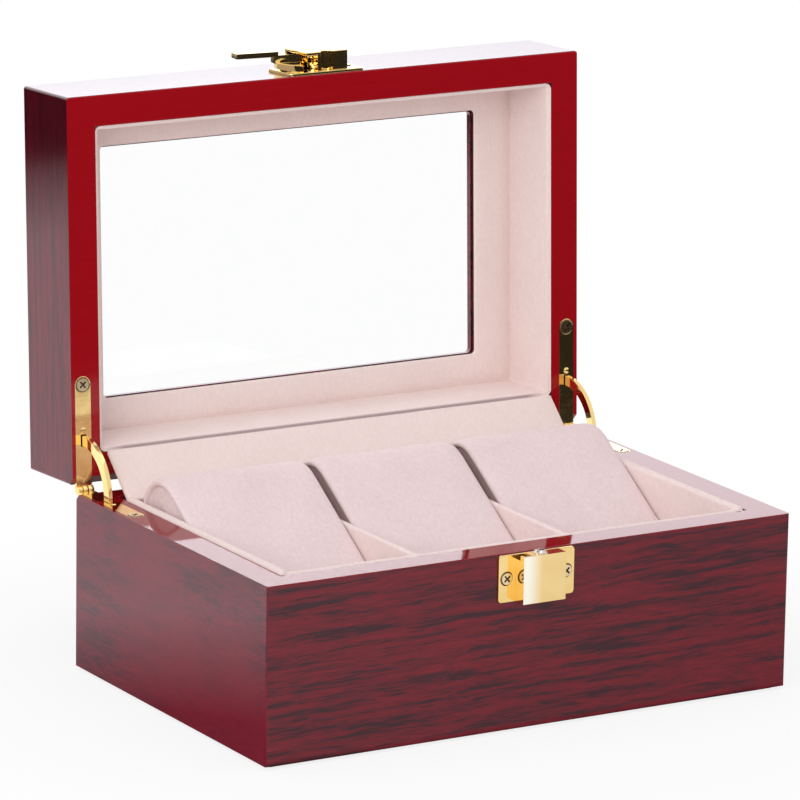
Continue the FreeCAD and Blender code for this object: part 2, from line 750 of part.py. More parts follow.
def pillow_form(name, inset):
    """A crowned pillow whose outline draws in towards both ends."""
    half = place("pillow_half")
    outlines = []
    for share in (-1, -0.9, -0.75, -0.5, 0, 0.5, 0.75, 0.9, 1):
        draw = size("pillow_draw") * abs(share) ** size("pillow_fullness")
        outlines.append(pillow_outline(share * half, draw + inset))
    obj = doc.addObject("Part::Feature", name)
    obj.Shape = Part.makeLoft(outlines, True)
    return obj


def slab(name, low, high):
    """A slice across the pillow, wide enough to take its whole outline."""
    return block(name, (low, high), ("-half_depth", "half_depth"), ("0", "2 * pillow_top"))


def make_pillows():
    """Three pillows: a velvet cover, a foam core and two recessed end boards each."""
    for column, position in enumerate(("left", "middle", "right"), start=-1):
        stem = f"pillow_{position}"
        shift = FreeCAD.Placement(FreeCAD.Vector(column * place("place_pitch"), 0, 0), FreeCAD.Rotation())
        outer = pillow_form(stem + "_outer", 0)
        inner = pillow_form(stem + "_inner", size("pillow_cover"))
        node(stem + "_cover", cut(stem + "_cover", outer, inner), shift)
        middle = slab(stem + "_middle", "-pillow_core_face", "pillow_core_face")
        node(stem + "_core", common(stem + "_core", inner, middle), shift)
        first = slab(stem + "_slice_first", "-pillow_board_face", "-pillow_core_face")
        last = slab(stem + "_slice_last", "pillow_core_face", "pillow_board_face")
        boards = [common(stem + "_board_first", inner, first), common(stem + "_board_last", inner, last)]
        node(stem + "_boards", group(stem + "_boards", *boards), shift)


def check_document():
    """Stop on a failed object or an empty or broken shape."""
    doc.recompute()
    failed = [obj.Name for obj in doc.Objects if {"Invalid", "Error"} & set(obj.State)]
    if failed:
        raise RuntimeError(f"failed objects: {failed}")
    for obj in nodes:
        if obj.Shape.isNull() or not obj.Shape.isValid() or not obj.Shape.Solids:
            raise RuntimeError(f"bad shape: {obj.Label}")


def main():
    """Build every piece, check the document and write one file for each node."""
    base_tools, lid_tools = make_hinges()
    catch_screws = make_catch()
    latch_screws = make_latch()
    make_shell(base_tools, lid_tools, catch_screws, latch_screws)
    make_bottom()
    make_base_linings()
    make_lid_top()
    make_lid_linings()
    make_lever()
    make_flap()
    make_pillows()
    check_document()
    os.makedirs("parts", exist_ok=True)
    for obj in nodes:
        obj.Shape.exportStep(f"parts/{obj.Label}.step")
        print(obj.Label, len(obj.Shape.Solids), round(obj.Shape.Volume, 1))
    print(len(nodes), "nodes")


main()
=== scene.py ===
"""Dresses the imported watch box: streaked lacquer, velvet linings, stuffed pillows and gilt fittings."""
import json
import logging
import math
from dataclasses import dataclass, field
from enum import Enum
from typing import Callable, Iterable, NamedTuple, Sequence

import bmesh
import bpy
from bmesh.types import BMEdge, BMesh, BMFace, BMVert
from bpy.types import Material, Mesh, Node, NodeOutputs, NodeSocket, NodeTree, Object
from mathutils import Matrix, Vector, noise


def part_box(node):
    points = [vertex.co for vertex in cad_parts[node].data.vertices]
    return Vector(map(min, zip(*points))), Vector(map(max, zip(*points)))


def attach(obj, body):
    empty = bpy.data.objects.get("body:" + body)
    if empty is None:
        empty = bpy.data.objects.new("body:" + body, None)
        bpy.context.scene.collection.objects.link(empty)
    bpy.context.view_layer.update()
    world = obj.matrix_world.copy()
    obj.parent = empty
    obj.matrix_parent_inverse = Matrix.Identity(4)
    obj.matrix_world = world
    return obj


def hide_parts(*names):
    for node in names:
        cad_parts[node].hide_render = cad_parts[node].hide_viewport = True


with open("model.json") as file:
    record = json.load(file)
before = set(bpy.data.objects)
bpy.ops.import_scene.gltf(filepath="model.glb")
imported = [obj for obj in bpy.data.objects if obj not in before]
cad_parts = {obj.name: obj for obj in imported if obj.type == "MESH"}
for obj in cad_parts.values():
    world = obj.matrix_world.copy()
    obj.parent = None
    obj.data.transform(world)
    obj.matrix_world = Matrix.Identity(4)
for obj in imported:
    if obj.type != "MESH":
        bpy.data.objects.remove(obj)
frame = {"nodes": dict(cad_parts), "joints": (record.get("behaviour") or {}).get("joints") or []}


def turned(about: Vector, angle: float) -> Matrix:
    """Turns about a line along X through a point."""
    return Matrix.Translation(about) @ Matrix.Rotation(angle, 4, "X") @ Matrix.Translation(-about)


MM = 0.001
LOG = logging.getLogger("watch_box")
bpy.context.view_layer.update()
NODES: dict[str, Object] = frame["nodes"]
LID_JOINT = next(joint for joint in frame["joints"] if joint["name"] == "lid_hinge")
LID_ANGLE = math.radians(LID_JOINT["range_deg"][0])
LID_OPEN = turned(Vector(LID_JOINT["pos_m"]), LID_ANGLE)
LID_SHUT = LID_OPEN.inverted()
QUARTER = math.radians(90.0)
TINY = 1e-9
LEVEL = 1e-5
FACING = 0.9
PAINTED_SHADE_ATTRIBUTE = "painted_shade_share"
SIDES = ("left", "right")

Colour = tuple[float, float, float]
Point = tuple[float, float, float]
Spot = tuple[float, float]


def new_object(name: str, data: bpy.types.ID) -> Object:
    """Makes an object of some data and puts it in the scene."""
    made = bpy.data.objects.new(name, data)
    bpy.context.scene.collection.objects.link(made)
    return made


def paint_shade(mesh: Mesh, shares: Sequence[float]) -> None:
    """Paints shade on a mesh: stores for each point the share of the painted shade colour that it takes."""
    mesh.attributes.new(PAINTED_SHADE_ATTRIBUTE, "FLOAT", "POINT").data.foreach_set("value", shares)


class Grain(Enum):
    """The way a board's grain runs, as the turn that lays it along X."""

    ALONG_WIDTH = (0.0, math.radians(1.0), 0.0)
    ALONG_DEPTH = (math.radians(3.0), 0.0, -QUARTER)
    UP_THE_LID = (-LID_ANGLE - QUARTER, QUARTER, 0.0)


class Effect(Enum):
    """The surface effects that more than one finish uses."""

    GRAIN = "streaked_grain"
    NAP = "cloth_nap"
    HAIRLINES = "fine_hairlines"


class Ramp(NamedTuple):
    """How a value is spread: what becomes low, what becomes high, and those two results."""

    start: float
    end: float
    low: float = 0.0
    high: float = 1.0


class Speckle(NamedTuple):
    """The scale and the detail of a noise."""

    scale: float
    detail: float = 2.0


class Wiring:
    """A node tree that is being wired."""

    def __init__(self, tree: NodeTree) -> None:
        """Takes the tree."""
        self.tree = tree

    def add(self, kind: str, inputs: dict | None = None, **settings: object) -> Node:
        """Adds a node.

        Args:
            kind: The node's type.
            inputs: What goes to its inputs.
            settings: The node's own properties.

        Returns:
            The new node.
        """
        node = self.tree.nodes.new(kind)
        for key, value in settings.items():
            setattr(node, key, value)
        self.feed(node, inputs or {})
        return node

    def feed(self, node: Node, inputs: dict) -> None:
        """Sets a node's inputs, or joins sockets to them.

        Args:
            node: The node.
            inputs: A value, a colour, a socket or a list of sockets, by the input's name or number.
        """
        for key, value in inputs.items():
            end = node.inputs[key]
            if isinstance(value, (NodeSocket, list)):
                for start in value if isinstance(value, list) else [value]:
                    self.tree.links.new(start, end)
            else:
                end.default_value = (*value, 1.0) if end.type == "RGBA" else value

    def noise(self, vector: NodeSocket, speckle: Speckle, output: int = 0) -> NodeSocket:
        """Adds a noise, and gives its value or, as output 1, its colour."""
        inputs = {"Vector": vector, "Scale": speckle.scale, "Detail": speckle.detail}
        return self.add("ShaderNodeTexNoise", inputs).outputs[output]

    def spread(self, value: NodeSocket, ramp: Ramp) -> NodeSocket:
        """Spreads a value by a ramp."""
        inputs = dict(zip(("Value", "From Min", "From Max", "To Min", "To Max"), (value, *ramp)))
        return self.add("ShaderNodeMapRange", inputs, clamp=True).outputs[0]

    def math(self, operation: str, total: object, *values: object) -> NodeSocket:
        """Works out values in turn by a named operation."""
        for value in values:
            total = self.add("ShaderNodeMath", {0: total, 1: value}, operation=operation).outputs[0]
        return total

    def weigh(self, *parts: tuple[NodeSocket, float]) -> NodeSocket:
        """Adds up values by their weights."""
        return self.math("ADD", *(self.math("MULTIPLY", *part) for part in parts))

    def vector(self, operation: str, first: object, second: object) -> NodeSocket:
        """Works out two vectors by a named operation."""
        return self.add("ShaderNodeVectorMath", {0: first, 1: second}, operation=operation).outputs[0]

    def length(self, vector: NodeSocket) -> NodeSocket:
        """Measures a vector."""
        return self.add("ShaderNodeVectorMath", {0: vector}, operation="LENGTH").outputs["Value"]

    def xyz(self, x: object = 0.0, y: object = 0.0, z: object = 0.0) -> NodeSocket:
        """Puts a vector together."""
        return self.add("ShaderNodeCombineXYZ", {"X": x, "Y": y, "Z": z}).outputs[0]

    def split(self, vector: NodeSocket) -> NodeOutputs:
        """Takes a vector apart."""
        return self.add("ShaderNodeSeparateXYZ", {0: vector}).outputs

    def stretch(self, vector: NodeSocket, along: object, across: object) -> NodeSocket:
        """Scales a vector along X and across it."""
        return self.vector("MULTIPLY", vector, self.xyz(along, across, across))

    def blend(self, share: NodeSocket, first: object, second: object) -> NodeSocket:
        """Blends from a first colour to a second by a share."""
        return self.add("ShaderNodeMix", {0: share, 6: first, 7: second}, data_type="RGBA").outputs[2]

    def relief(self, height: NodeSocket, strength: float, depth: float) -> NodeSocket:
        """Makes a normal from a height, with a strength and a depth in metres."""
        inputs = {"Height": height, "Strength": strength, "Distance": depth}
        return self.add("ShaderNodeBump", inputs).outputs[0]

    def place(self) -> NodeSocket:
        """Gives the place on the object."""
        return self.add("ShaderNodeTexCoord").outputs["Object"]

    def glow(self, kind: str, colour: object, strength: object) -> NodeSocket:
        """Adds a shader that shines."""
        return self.add(kind, {"Color": colour, "Strength": strength}).outputs[0]

    def mix(self, share: NodeSocket, first: NodeSocket, second: NodeSocket) -> NodeSocket:
        """Mixes two shaders by a share."""
        return self.add("ShaderNodeMixShader", {0: share, 1: first, 2: second}).outputs[0]


@dataclass
class Effects:
    """The shared shader groups, each built once."""

    drift: Speckle = Speckle(34.0)
    middle: Point = (0.5, 0.5, 0.5)
    streaks: Speckle = Speckle(1.6, 4.0)
    clusters: Speckle = Speckle(0.45, 3.0)
    heap: Spot = (0.7, 0.8)
    heap_reach: Ramp = Ramp(0.69, 0.88)
    lines: Speckle = Speckle(2.6, 3.0)
    line_reach: Ramp = Ramp(0.4, 0.62)
    fine_reach: Ramp = Ramp(0.35, 0.6, 0.4, 0.8)
    fibres: Speckle = Speckle(1.0)
    tufts: Speckle = Speckle(0.6)
    tuft_reach: Ramp = Ramp(0.36, 0.66)
    mottles: Speckle = Speckle(60.0)
    soft_reach: Ramp = Ramp(0.3, 0.7)
    hairs: Speckle = Speckle(1.0)
    hair_pull: float = 90.0
    hair_reach: Ramp = Ramp(0.35, 0.65)
    clouds: Speckle = Speckle(160.0)
    groups: dict[Effect, NodeTree] = field(default_factory=dict)

    def __post_init__(self) -> None:
        """Builds the groups."""
        self._grain()
        self._nap()
        self._hairlines()

    def _open(self, effect: Effect, *inputs: str) -> tuple[Wiring, NodeOutputs]:
        """Starts a group.

        Args:
            effect: Which effect it is.
            inputs: The names of the values that follow its vector.

        Returns:
            The wiring, and the inner sockets of the inputs.
        """
        tree = self.groups[effect] = bpy.data.node_groups.new(effect.value, "ShaderNodeTree")
        tree.interface.new_socket("Vector", in_out="INPUT", socket_type="NodeSocketVector")
        for name in inputs:
            tree.interface.new_socket(name, in_out="INPUT", socket_type="NodeSocketFloat")
        wiring = Wiring(tree)
        return wiring, wiring.add("NodeGroupInput").outputs

    @staticmethod
    def _close(wiring: Wiring, **results: NodeSocket) -> None:
        """Ends a group with its named results."""
        for name in results:
            wiring.tree.interface.new_socket(name, in_out="OUTPUT", socket_type="NodeSocketFloat")
        wiring.add("NodeGroupOutput", results)

    def _grain(self) -> None:
        """Draws short dark streaks in clusters, with fine lines between them."""
        wiring, given = self._open(Effect.GRAIN, "Length", "Fineness", "Wander")
        drift = wiring.vector("SUBTRACT", wiring.noise(given["Vector"], self.drift, 1), self.middle)
        drift = wiring.vector("MULTIPLY", drift, wiring.xyz(0.0, given["Wander"], given["Wander"]))
        laid = wiring.vector("ADD", given["Vector"], drift)
        drawn = wiring.stretch(laid, given["Length"], given["Fineness"])
        streak, cluster = wiring.noise(drawn, self.streaks), wiring.noise(drawn, self.clusters)
        line = wiring.spread(wiring.noise(drawn, self.lines), self.line_reach)
        heaped = wiring.weigh((streak, self.heap[0]), (cluster, self.heap[1]))
        fine = wiring.math("MULTIPLY", line, wiring.spread(cluster, self.fine_reach))
        dark = wiring.math("MAXIMUM", wiring.spread(heaped, self.heap_reach), fine)
        self._close(wiring, Streak=dark, Tone=streak, Line=line)

    def _nap(self) -> None:
        """Raises the short pile of cloth, in tufts that are brushed along one way."""
        wiring, given = self._open(Effect.NAP, "Fineness", "Brush")
        drawn = wiring.stretch(given["Vector"], given["Fineness"], given["Brush"])
        fibre, tuft = wiring.noise(drawn, self.fibres), wiring.noise(drawn, self.tufts)
        mottle = wiring.spread(wiring.noise(given["Vector"], self.mottles), self.soft_reach)
        self._close(wiring, Mottle=mottle, Fibre=wiring.spread(fibre, self.soft_reach),
                    Tuft=wiring.spread(tuft, self.tuft_reach), Height=wiring.math("ADD", fibre, tuft))

    def _hairlines(self) -> None:
        """Draws hairlines from polishing, and the soft clouds of handling."""
        wiring, given = self._open(Effect.HAIRLINES, "Fineness")
        drawn = wiring.stretch(given["Vector"], self.hair_pull, given["Fineness"])
        line = wiring.spread(wiring.noise(drawn, self.hairs), self.hair_reach)
        cloud = wiring.spread(wiring.noise(given["Vector"], self.clouds), self.soft_reach)
        self._close(wiring, Line=line, Cloud=cloud)


class Surface(Wiring):
    """A material that is being wired."""

    def __init__(self, name: str, effects: Effects) -> None:
        """Starts the material.

        Args:
            name: Its name.
            effects: The shared groups.
        """
        self.material = bpy.data.materials.new(name)
        self.material.use_nodes = True
        super().__init__(self.material.node_tree)
        self.groups = effects.groups
        self.spot = self.place()

    def effect(self, which: Effect, **inputs: object) -> NodeOutputs:
        """Places a shared group with its values, and gives its results."""
        return self.add("ShaderNodeGroup", inputs, node_tree=self.groups[which]).outputs


@dataclass(frozen=True)
class Finish:
    """A surface finish, as one material."""

    name: str

    def make(self, effects: Effects) -> Material:
        """Makes the finish's material.

        Args:
            effects: The shared groups.

        Returns:
            The material.
        """
        surface = Surface(self.name, effects)
        surface.feed(surface.tree.nodes["Principled BSDF"], self.dress(surface))
        return surface.material

    def dress(self, on: Surface) -> dict[str, object]:
        """Wires the finish's own nodes, and gives what goes to the shader by its inputs' names."""
        raise NotImplementedError


@dataclass(frozen=True)
class Lacquer(Finish):
    """Clear gloss over streaked red wood, or over plain red on the rims."""

    grain: Grain
    ground: Colour
    shade: Colour
    streak: Colour
    strength: float
    smooth: float = 0.06
    haze: float = 0.03
    length: float = 52.0
    fineness: float = 1000.0
    wander: float = 2.5 * MM
    tones: Ramp = Ramp(0.35, 0.65)
    patch: Speckle = Speckle(16.0)
    bare: Ramp | None = None
    painted_shade_height: Ramp | None = None
    relief: float = 0.02
    depth: float = 0.1 * MM
    ior: float = 1.4

    def dress(self, on: Surface) -> dict[str, object]:
        """Lays the grain along the board under the gloss.

        Args:
            on: The material that is being wired.

        Returns:
            What goes to the shader.
        """
        laid = on.add("ShaderNodeMapping", {"Vector": on.spot, "Rotation": self.grain.value}).outputs[0]
        pull = {"Length": self.length, "Fineness": self.fineness, "Wander": self.wander}
        grain = on.effect(Effect.GRAIN, Vector=laid, **pull)
        share = on.math("MULTIPLY", grain["Streak"], self.strength)
        if self.bare:
            share = on.math("MULTIPLY", share, on.spread(on.noise(on.spot, self.patch), self.bare))
        tone = on.blend(on.spread(grain["Tone"], self.tones), self.shade, self.ground)
        colour = on.blend(share, tone, self.streak)
        # Painted shade: the board goes darker with height, towards the lid's front edge, which is its top
        # when the lid is open.
        if self.painted_shade_height:
            colour = on.blend(on.spread(on.split(on.spot)[2], self.painted_shade_height), colour, self.streak)
        gloss = Ramp(0.0, 1.0, self.smooth, self.smooth + self.haze)
        return {"Base Color": colour, "Roughness": on.spread(grain["Line"], gloss),
                "Normal": on.relief(grain["Line"], self.relief, self.depth), "IOR": self.ior}


@dataclass(frozen=True)
class Cloth(Finish):
    """Velvet or felt, with its pile, which may carry painted shade."""

    pale: Colour
    deep: Colour
    fineness: float = 2200.0
    brush: float = 800.0
    sheen: float = 0.25
    pile: float = 0.35
    depth: float = 0.3 * MM
    # Painted shade colour, taken by the points whose mesh stores a share of it.
    painted_shade: Colour | None = None
    fibre: float = 0.3
    tuft: float = 0.4
    mottle: float = 0.3
    rough: Ramp = Ramp(0.0, 1.0, 0.86)
    specular: float = 0.15
    sheen_rough: float = 0.45

    def dress(self, on: Surface) -> dict[str, object]:
        """Mottles the pile and lifts its fibres.

        Args:
            on: The material that is being wired.

        Returns:
            What goes to the shader.
        """
        nap = on.effect(Effect.NAP, Vector=on.spot, Fineness=self.fineness, Brush=self.brush)
        share = on.weigh((nap["Fibre"], self.fibre), (nap["Tuft"], self.tuft), (nap["Mottle"], self.mottle))
        colour = on.blend(share, self.deep, self.pale)
        # Painted shade: each point blends towards the painted shade colour by its stored share.
        if self.painted_shade:
            painted_shade_share = on.add("ShaderNodeAttribute", attribute_name=PAINTED_SHADE_ATTRIBUTE).outputs["Fac"]
            colour = on.blend(painted_shade_share, colour, self.painted_shade)
        return {"Base Color": colour, "Roughness": on.spread(nap["Mottle"], self.rough),
                "Normal": on.relief(nap["Height"], self.pile, self.depth),
                "Specular IOR Level": self.specular, "Sheen Weight": self.sheen,
                "Sheen Roughness": self.sheen_rough, "Sheen Tint": self.pale}


@dataclass(frozen=True)
class Metal(Finish):
    """Gilt brass or steel, polished and handled, which may carry a painted highlight that goes pale towards
    one side.
    """

    bright: Colour
    dull: Colour
    smooth: float
    worn: float
    pale: Colour | None = None
    painted_highlight_reach: Ramp = Ramp(-6.0 * MM, -1.0 * MM)
    fineness: float = 5200.0
    clouding: float = 0.7
    relief: float = 0.015
    depth: float = 0.02 * MM

    def dress(self, on: Surface) -> dict[str, object]:
        """Clouds the polish and draws its hairlines.

        Args:
            on: The material that is being wired.

        Returns:
            What goes to the shader.
        """
        lines = on.effect(Effect.HAIRLINES, Vector=on.spot, Fineness=self.fineness)
        colour = on.blend(on.math("MULTIPLY", lines["Cloud"], self.clouding), self.bright, self.dull)
        # Painted highlight: the colour goes pale towards one side.
        if self.pale:
            colour = on.blend(on.spread(on.split(on.spot)[0], self.painted_highlight_reach), self.pale, colour)
        rough = on.math("MULTIPLY", lines["Line"], lines["Cloud"])
        return {"Base Color": colour, "Roughness": on.spread(rough, Ramp(0.0, 1.0, self.smooth, self.worn)),
                "Normal": on.relief(lines["Line"], self.relief, self.depth), "Metallic": 1.0}


@dataclass(frozen=True)
class Glass(Finish):
    """Clear window glass with the faintest wipe marks."""

    clear: Colour = (1.0, 1.0, 1.0)
    wiped: Colour = (0.985, 0.995, 0.99)
    fineness: float = 300.0
    marks: Ramp = Ramp(0.2, 1.0, 0.0, 0.012)
    ior: float = 1.3
    specular: float = 0.3

    def dress(self, on: Surface) -> dict[str, object]:
        """Leaves wipe marks in the polish.

        Args:
            on: The material that is being wired.

        Returns:
            What goes to the shader.
        """
        cloud = on.effect(Effect.HAIRLINES, Vector=on.spot, Fineness=self.fineness)["Cloud"]
        return {"Base Color": on.blend(cloud, self.clear, self.wiped),
                "Roughness": on.spread(cloud, self.marks),
                "Transmission Weight": 1.0, "IOR": self.ior, "Specular IOR Level": self.specular}


@dataclass(frozen=True)
class BareBoard(Finish):
    """Unfinished board under the linings."""

    pale: Colour
    deep: Colour
    length: float = 20.0
    fineness: float = 300.0
    wander: float = 3.0 * MM
    rough: Ramp = Ramp(0.0, 1.0, 0.6, 0.8)
    relief: float = 0.2
    depth: float = 0.1 * MM

    def dress(self, on: Surface) -> dict[str, object]:
        """Shows the board's own grain.

        Args:
            on: The material that is being wired.

        Returns:
            What goes to the shader.
        """
        pull = {"Length": self.length, "Fineness": self.fineness, "Wander": self.wander}
        grain = on.effect(Effect.GRAIN, Vector=on.spot, **pull)
        return {"Base Color": on.blend(grain["Streak"], self.pale, self.deep),
                "Roughness": on.spread(grain["Line"], self.rough),
                "Normal": on.relief(grain["Line"], self.relief, self.depth)}


class Palette:
    """All the finishes of the box."""

    def __init__(self) -> None:
        """Makes each material once."""
        self.effects = Effects()
        self.width_grain = self._make(Lacquer(
            "lacquer_along_width", Grain.ALONG_WIDTH, (0.215, 0.006, 0.016), (0.16, 0.005, 0.014),
            (0.026, 0.006, 0.012), strength=0.92))
        ground, shade = (0.205, 0.006, 0.022), (0.165, 0.005, 0.018)
        self.depth_grain = self._make(Lacquer(
            "lacquer_along_depth", Grain.ALONG_DEPTH, ground, shade, (0.04, 0.005, 0.016),
            strength=0.75, length=95.0, fineness=520.0, bare=Ramp(0.4, 0.58, 0.15)))
        # The lid's side rails carry painted shade, darker towards the lid's front edge.
        self.lid_grain = self._make(Lacquer(
            "lacquer_up_the_lid", Grain.UP_THE_LID, ground, shade, (0.024, 0.0015, 0.0035),
            strength=0.7, painted_shade_height=Ramp(0.13, 0.18, 0.0, 0.7)))
        self.rim = self._rim("lacquer_rim", (0.25, 0.004, 0.008), (0.235, 0.003, 0.007), (0.2, 0.002, 0.005))
        self.lid_rim = self._rim("lacquer_lid_rim", (0.345, 0.005, 0.01), (0.325, 0.004, 0.009),
                                 (0.27, 0.003, 0.007))
        # The velvet and the pillow velvet carry painted shade colours, for the lip's roll behind the flap
        # and for the pillow ends between pillows.
        self.velvet = self._make(Cloth(
            "velvet", (0.9, 0.765, 0.74), (0.83, 0.69, 0.665), painted_shade=(0.46, 0.34, 0.35)))
        self.plush = self._make(Cloth(
            "pillow_velvet", (0.875, 0.725, 0.735), (0.765, 0.615, 0.625),
            fineness=1800.0, brush=900.0, painted_shade=(0.5, 0.35, 0.34)))
        self.felt = self._make(Cloth(
            "felt", (0.03, 0.03, 0.034), (0.015, 0.015, 0.018), fineness=1800.0, brush=1800.0, sheen=0.1))
        self.window_edge = self._make(Cloth(
            "window_edge", (0.06, 0.022, 0.018), (0.03, 0.012, 0.01),
            fineness=1500.0, brush=1500.0, sheen=0.0, pile=0.1))
        self.gilt = self._make(Metal(
            "gilt", (0.95, 0.71, 0.31), (0.88, 0.62, 0.23), smooth=0.05, worn=0.14))
        # The catch's cover carries a painted highlight, pale towards its left.
        self.cover = self._make(Metal(
            "gilt_cover_painted_highlight", (0.92, 0.69, 0.32), (0.87, 0.63, 0.27), smooth=0.05, worn=0.12,
            pale=(1.0, 0.97, 0.82)))
        self.screws = self._make(Metal(
            "gilt_screws", (0.84, 0.69, 0.44), (0.66, 0.51, 0.29), smooth=0.1, worn=0.2))
        # Painted shade for the screws' recesses and rims and for the stud's pit.
        self.recess_shade = self._make(Metal(
            "recess_painted_shade", (0.2, 0.12, 0.055), (0.12, 0.075, 0.035), smooth=0.4, worn=0.6))
        self.satin = self._make(Metal(
            "gilt_inside", (0.95, 0.71, 0.36), (0.88, 0.62, 0.28), smooth=0.5, worn=0.7))
        self.steel = self._make(Metal(
            "steel", (0.72, 0.72, 0.74), (0.56, 0.56, 0.6), smooth=0.12, worn=0.28))
        self.glass = self._make(Glass("window_glass"))
        self.board = self._make(BareBoard("bare_board", (0.55, 0.42, 0.3), (0.36, 0.25, 0.16)))

    def _make(self, finish: Finish) -> Material:
        """Makes one finish."""
        return finish.make(self.effects)

    def _rim(self, name: str, *reds: Colour) -> Material:
        """Makes a rim's smooth lacquer from its ground, shade and streak."""
        return self._make(Lacquer(name, Grain.ALONG_WIDTH, *reds, strength=0.2, smooth=0.035, relief=0.003))


@dataclass
class Workbench:
    """Turns meshes into pieces of the object."""

    palette: Palette
    merge: float = 0.003 * MM
    flat: float = math.radians(0.3)
    board_steps: int = 4
    unevenness: float = 55.0
    cut_reach: float = 1e-7

    def copy_of(self, node: str, shut: bool = False) -> BMesh:
        """Copies a solid's mesh, joined up and with its flat faces whole.

        Args:
            node: The solid's name.
            shut: If the copy is moved to where it is with the lid shut.

        Returns:
            The copy.
        """
        shape = bmesh.new()
        shape.from_mesh(NODES[node].data)
        if shut:
            shape.transform(LID_SHUT)
        bmesh.ops.remove_doubles(shape, verts=shape.verts, dist=self.merge)
        bmesh.ops.dissolve_limit(shape, angle_limit=self.flat, verts=shape.verts, edges=shape.edges)
        return shape

    def ease(self, shape: BMesh, width: float, steps: int,
             wanted: Callable[[BMEdge], bool] = lambda edge: True, least: float = 40.0) -> None:
        """Rounds the edges that are sharp and wanted.

        Args:
            shape: The mesh to change.
            width: How far the rounding reaches.
            steps: How many faces it has.
            wanted: Says if an edge takes it.
            least: The smallest turn of a sharp edge, in degrees.
        """
        sharp = [edge for edge in shape.edges
                 if edge.is_manifold and edge.calc_face_angle(0.0) > math.radians(least) and wanted(edge)]
        self._bevel(shape, sharp, width, steps)

    @staticmethod
    def _bevel(shape: BMesh, edges: list[BMEdge], width: float, steps: int) -> None:
        """Rounds edges."""
        bmesh.ops.bevel(shape, geom=edges, offset=width, offset_type="OFFSET", segments=steps, profile=0.5,
                        affect="EDGES", clamp_overlap=True)

    def slice(self, shape: BMesh, axis: int, places: Iterable[float]) -> None:
        """Cuts a mesh's faces across an axis.

        Args:
            shape: The mesh to change.
            axis: The axis's number.
            places: Where along it the cuts are.
        """
        across = Vector([1.0 if i == axis else 0.0 for i in range(3)])
        for at in places:
            everything = [*shape.verts, *shape.edges, *shape.faces]
            bmesh.ops.bisect_plane(shape, geom=everything, dist=self.cut_reach, plane_co=across * at,
                                   plane_no=across)

    def soft_board(self, low: Point, high: Point, radius: float, pitch: float = 6.0 * MM,
                   swell: float = 0.12 * MM) -> BMesh:
        """Makes a cloth-covered board: rounded all round, and uneven as cloth over card is.

        Args:
            low: Its lowest corner.
            high: Its highest corner.
            radius: How round its edges are.
            pitch: How closely its faces are divided.
            swell: How uneven its faces are.

        Returns:
            The board.
        """
        shape = bmesh.new()
        bmesh.ops.create_cube(shape, size=1.0)
        low, high = Vector(low), Vector(high)
        span = high - low
        shape.transform(Matrix.Translation((low + high) / 2) @ Matrix.Diagonal((*span, 1.0)))
        self._bevel(shape, shape.edges[:], radius, self.board_steps)
        for axis in range(3):
            count = int((span[axis] - 2 * radius) / pitch)
            step = (span[axis] - 2 * radius) / (count + 1)
            self.slice(shape, axis, [low[axis] + radius + step * (i + 1) for i in range(count)])
        shape.normal_update()
        moves = [vert.normal * noise.noise(vert.co * self.unevenness) * swell for vert in shape.verts]
        for vert, move in zip(shape.verts, moves):
            vert.co += move
        return shape

    def piece(self, name: str, shape: BMesh, finishes: Sequence[Material], body: str, slot: str,
              nodes: Sequence[str], crease: float = 35.0, weighted: bool = False) -> Object:
        """Makes a piece from a mesh, in place of solids.

        Args:
            name: The piece's name.
            shape: Its mesh, which is used up.
            finishes: Its materials.
            body: The body that it rides on.
            slot: The record's material slot; not used.
            nodes: The solids that it stands for.
            crease: The turn from which an edge stays sharp, in degrees.
            weighted: If its normals follow its larger faces.

        Returns:
            The piece.
        """
        shape.normal_update()
        for face in shape.faces:
            face.smooth = True
        for edge in shape.edges:
            edge.smooth = edge.calc_face_angle(0.0) < math.radians(crease)
        mesh = bpy.data.meshes.new(name)
        shape.to_mesh(mesh)
        shape.free()
        for finish in finishes:
            mesh.materials.append(finish)
        piece = new_object(name, mesh)
        if weighted:
            piece.modifiers.new("flat_faces", "WEIGHTED_NORMAL").keep_sharp = True
        self.place(piece, body, slot, nodes)
        return piece

    def place(self, piece: Object, body: str, slot: str, nodes: Sequence[str]) -> None:
        """Rides a piece on its body, in place of solids.

        Args:
            piece: The piece.
            body: The body that it rides on.
            slot: The record's material slot; not used.
            nodes: The solids that it stands for.
        """
        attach(piece, body)
        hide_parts(*nodes)
        LOG.info("%s on %s: %d faces", piece.name, body, len(piece.data.polygons))

    def keep(self, node: str, finish: Material) -> None:
        """Gives a solid that stays its finish.

        Args:
            node: The solid's name.
            finish: Its material.
        """
        for slot in NODES[node].material_slots:
            slot.material = finish
        LOG.info("%s kept", node)


class Lamp(NamedTuple):
    """A soft box: where it hangs, the point that it faces, its width and height, and its power in watts."""

    stand: Point
    aim: Point
    size: Spot
    power: float


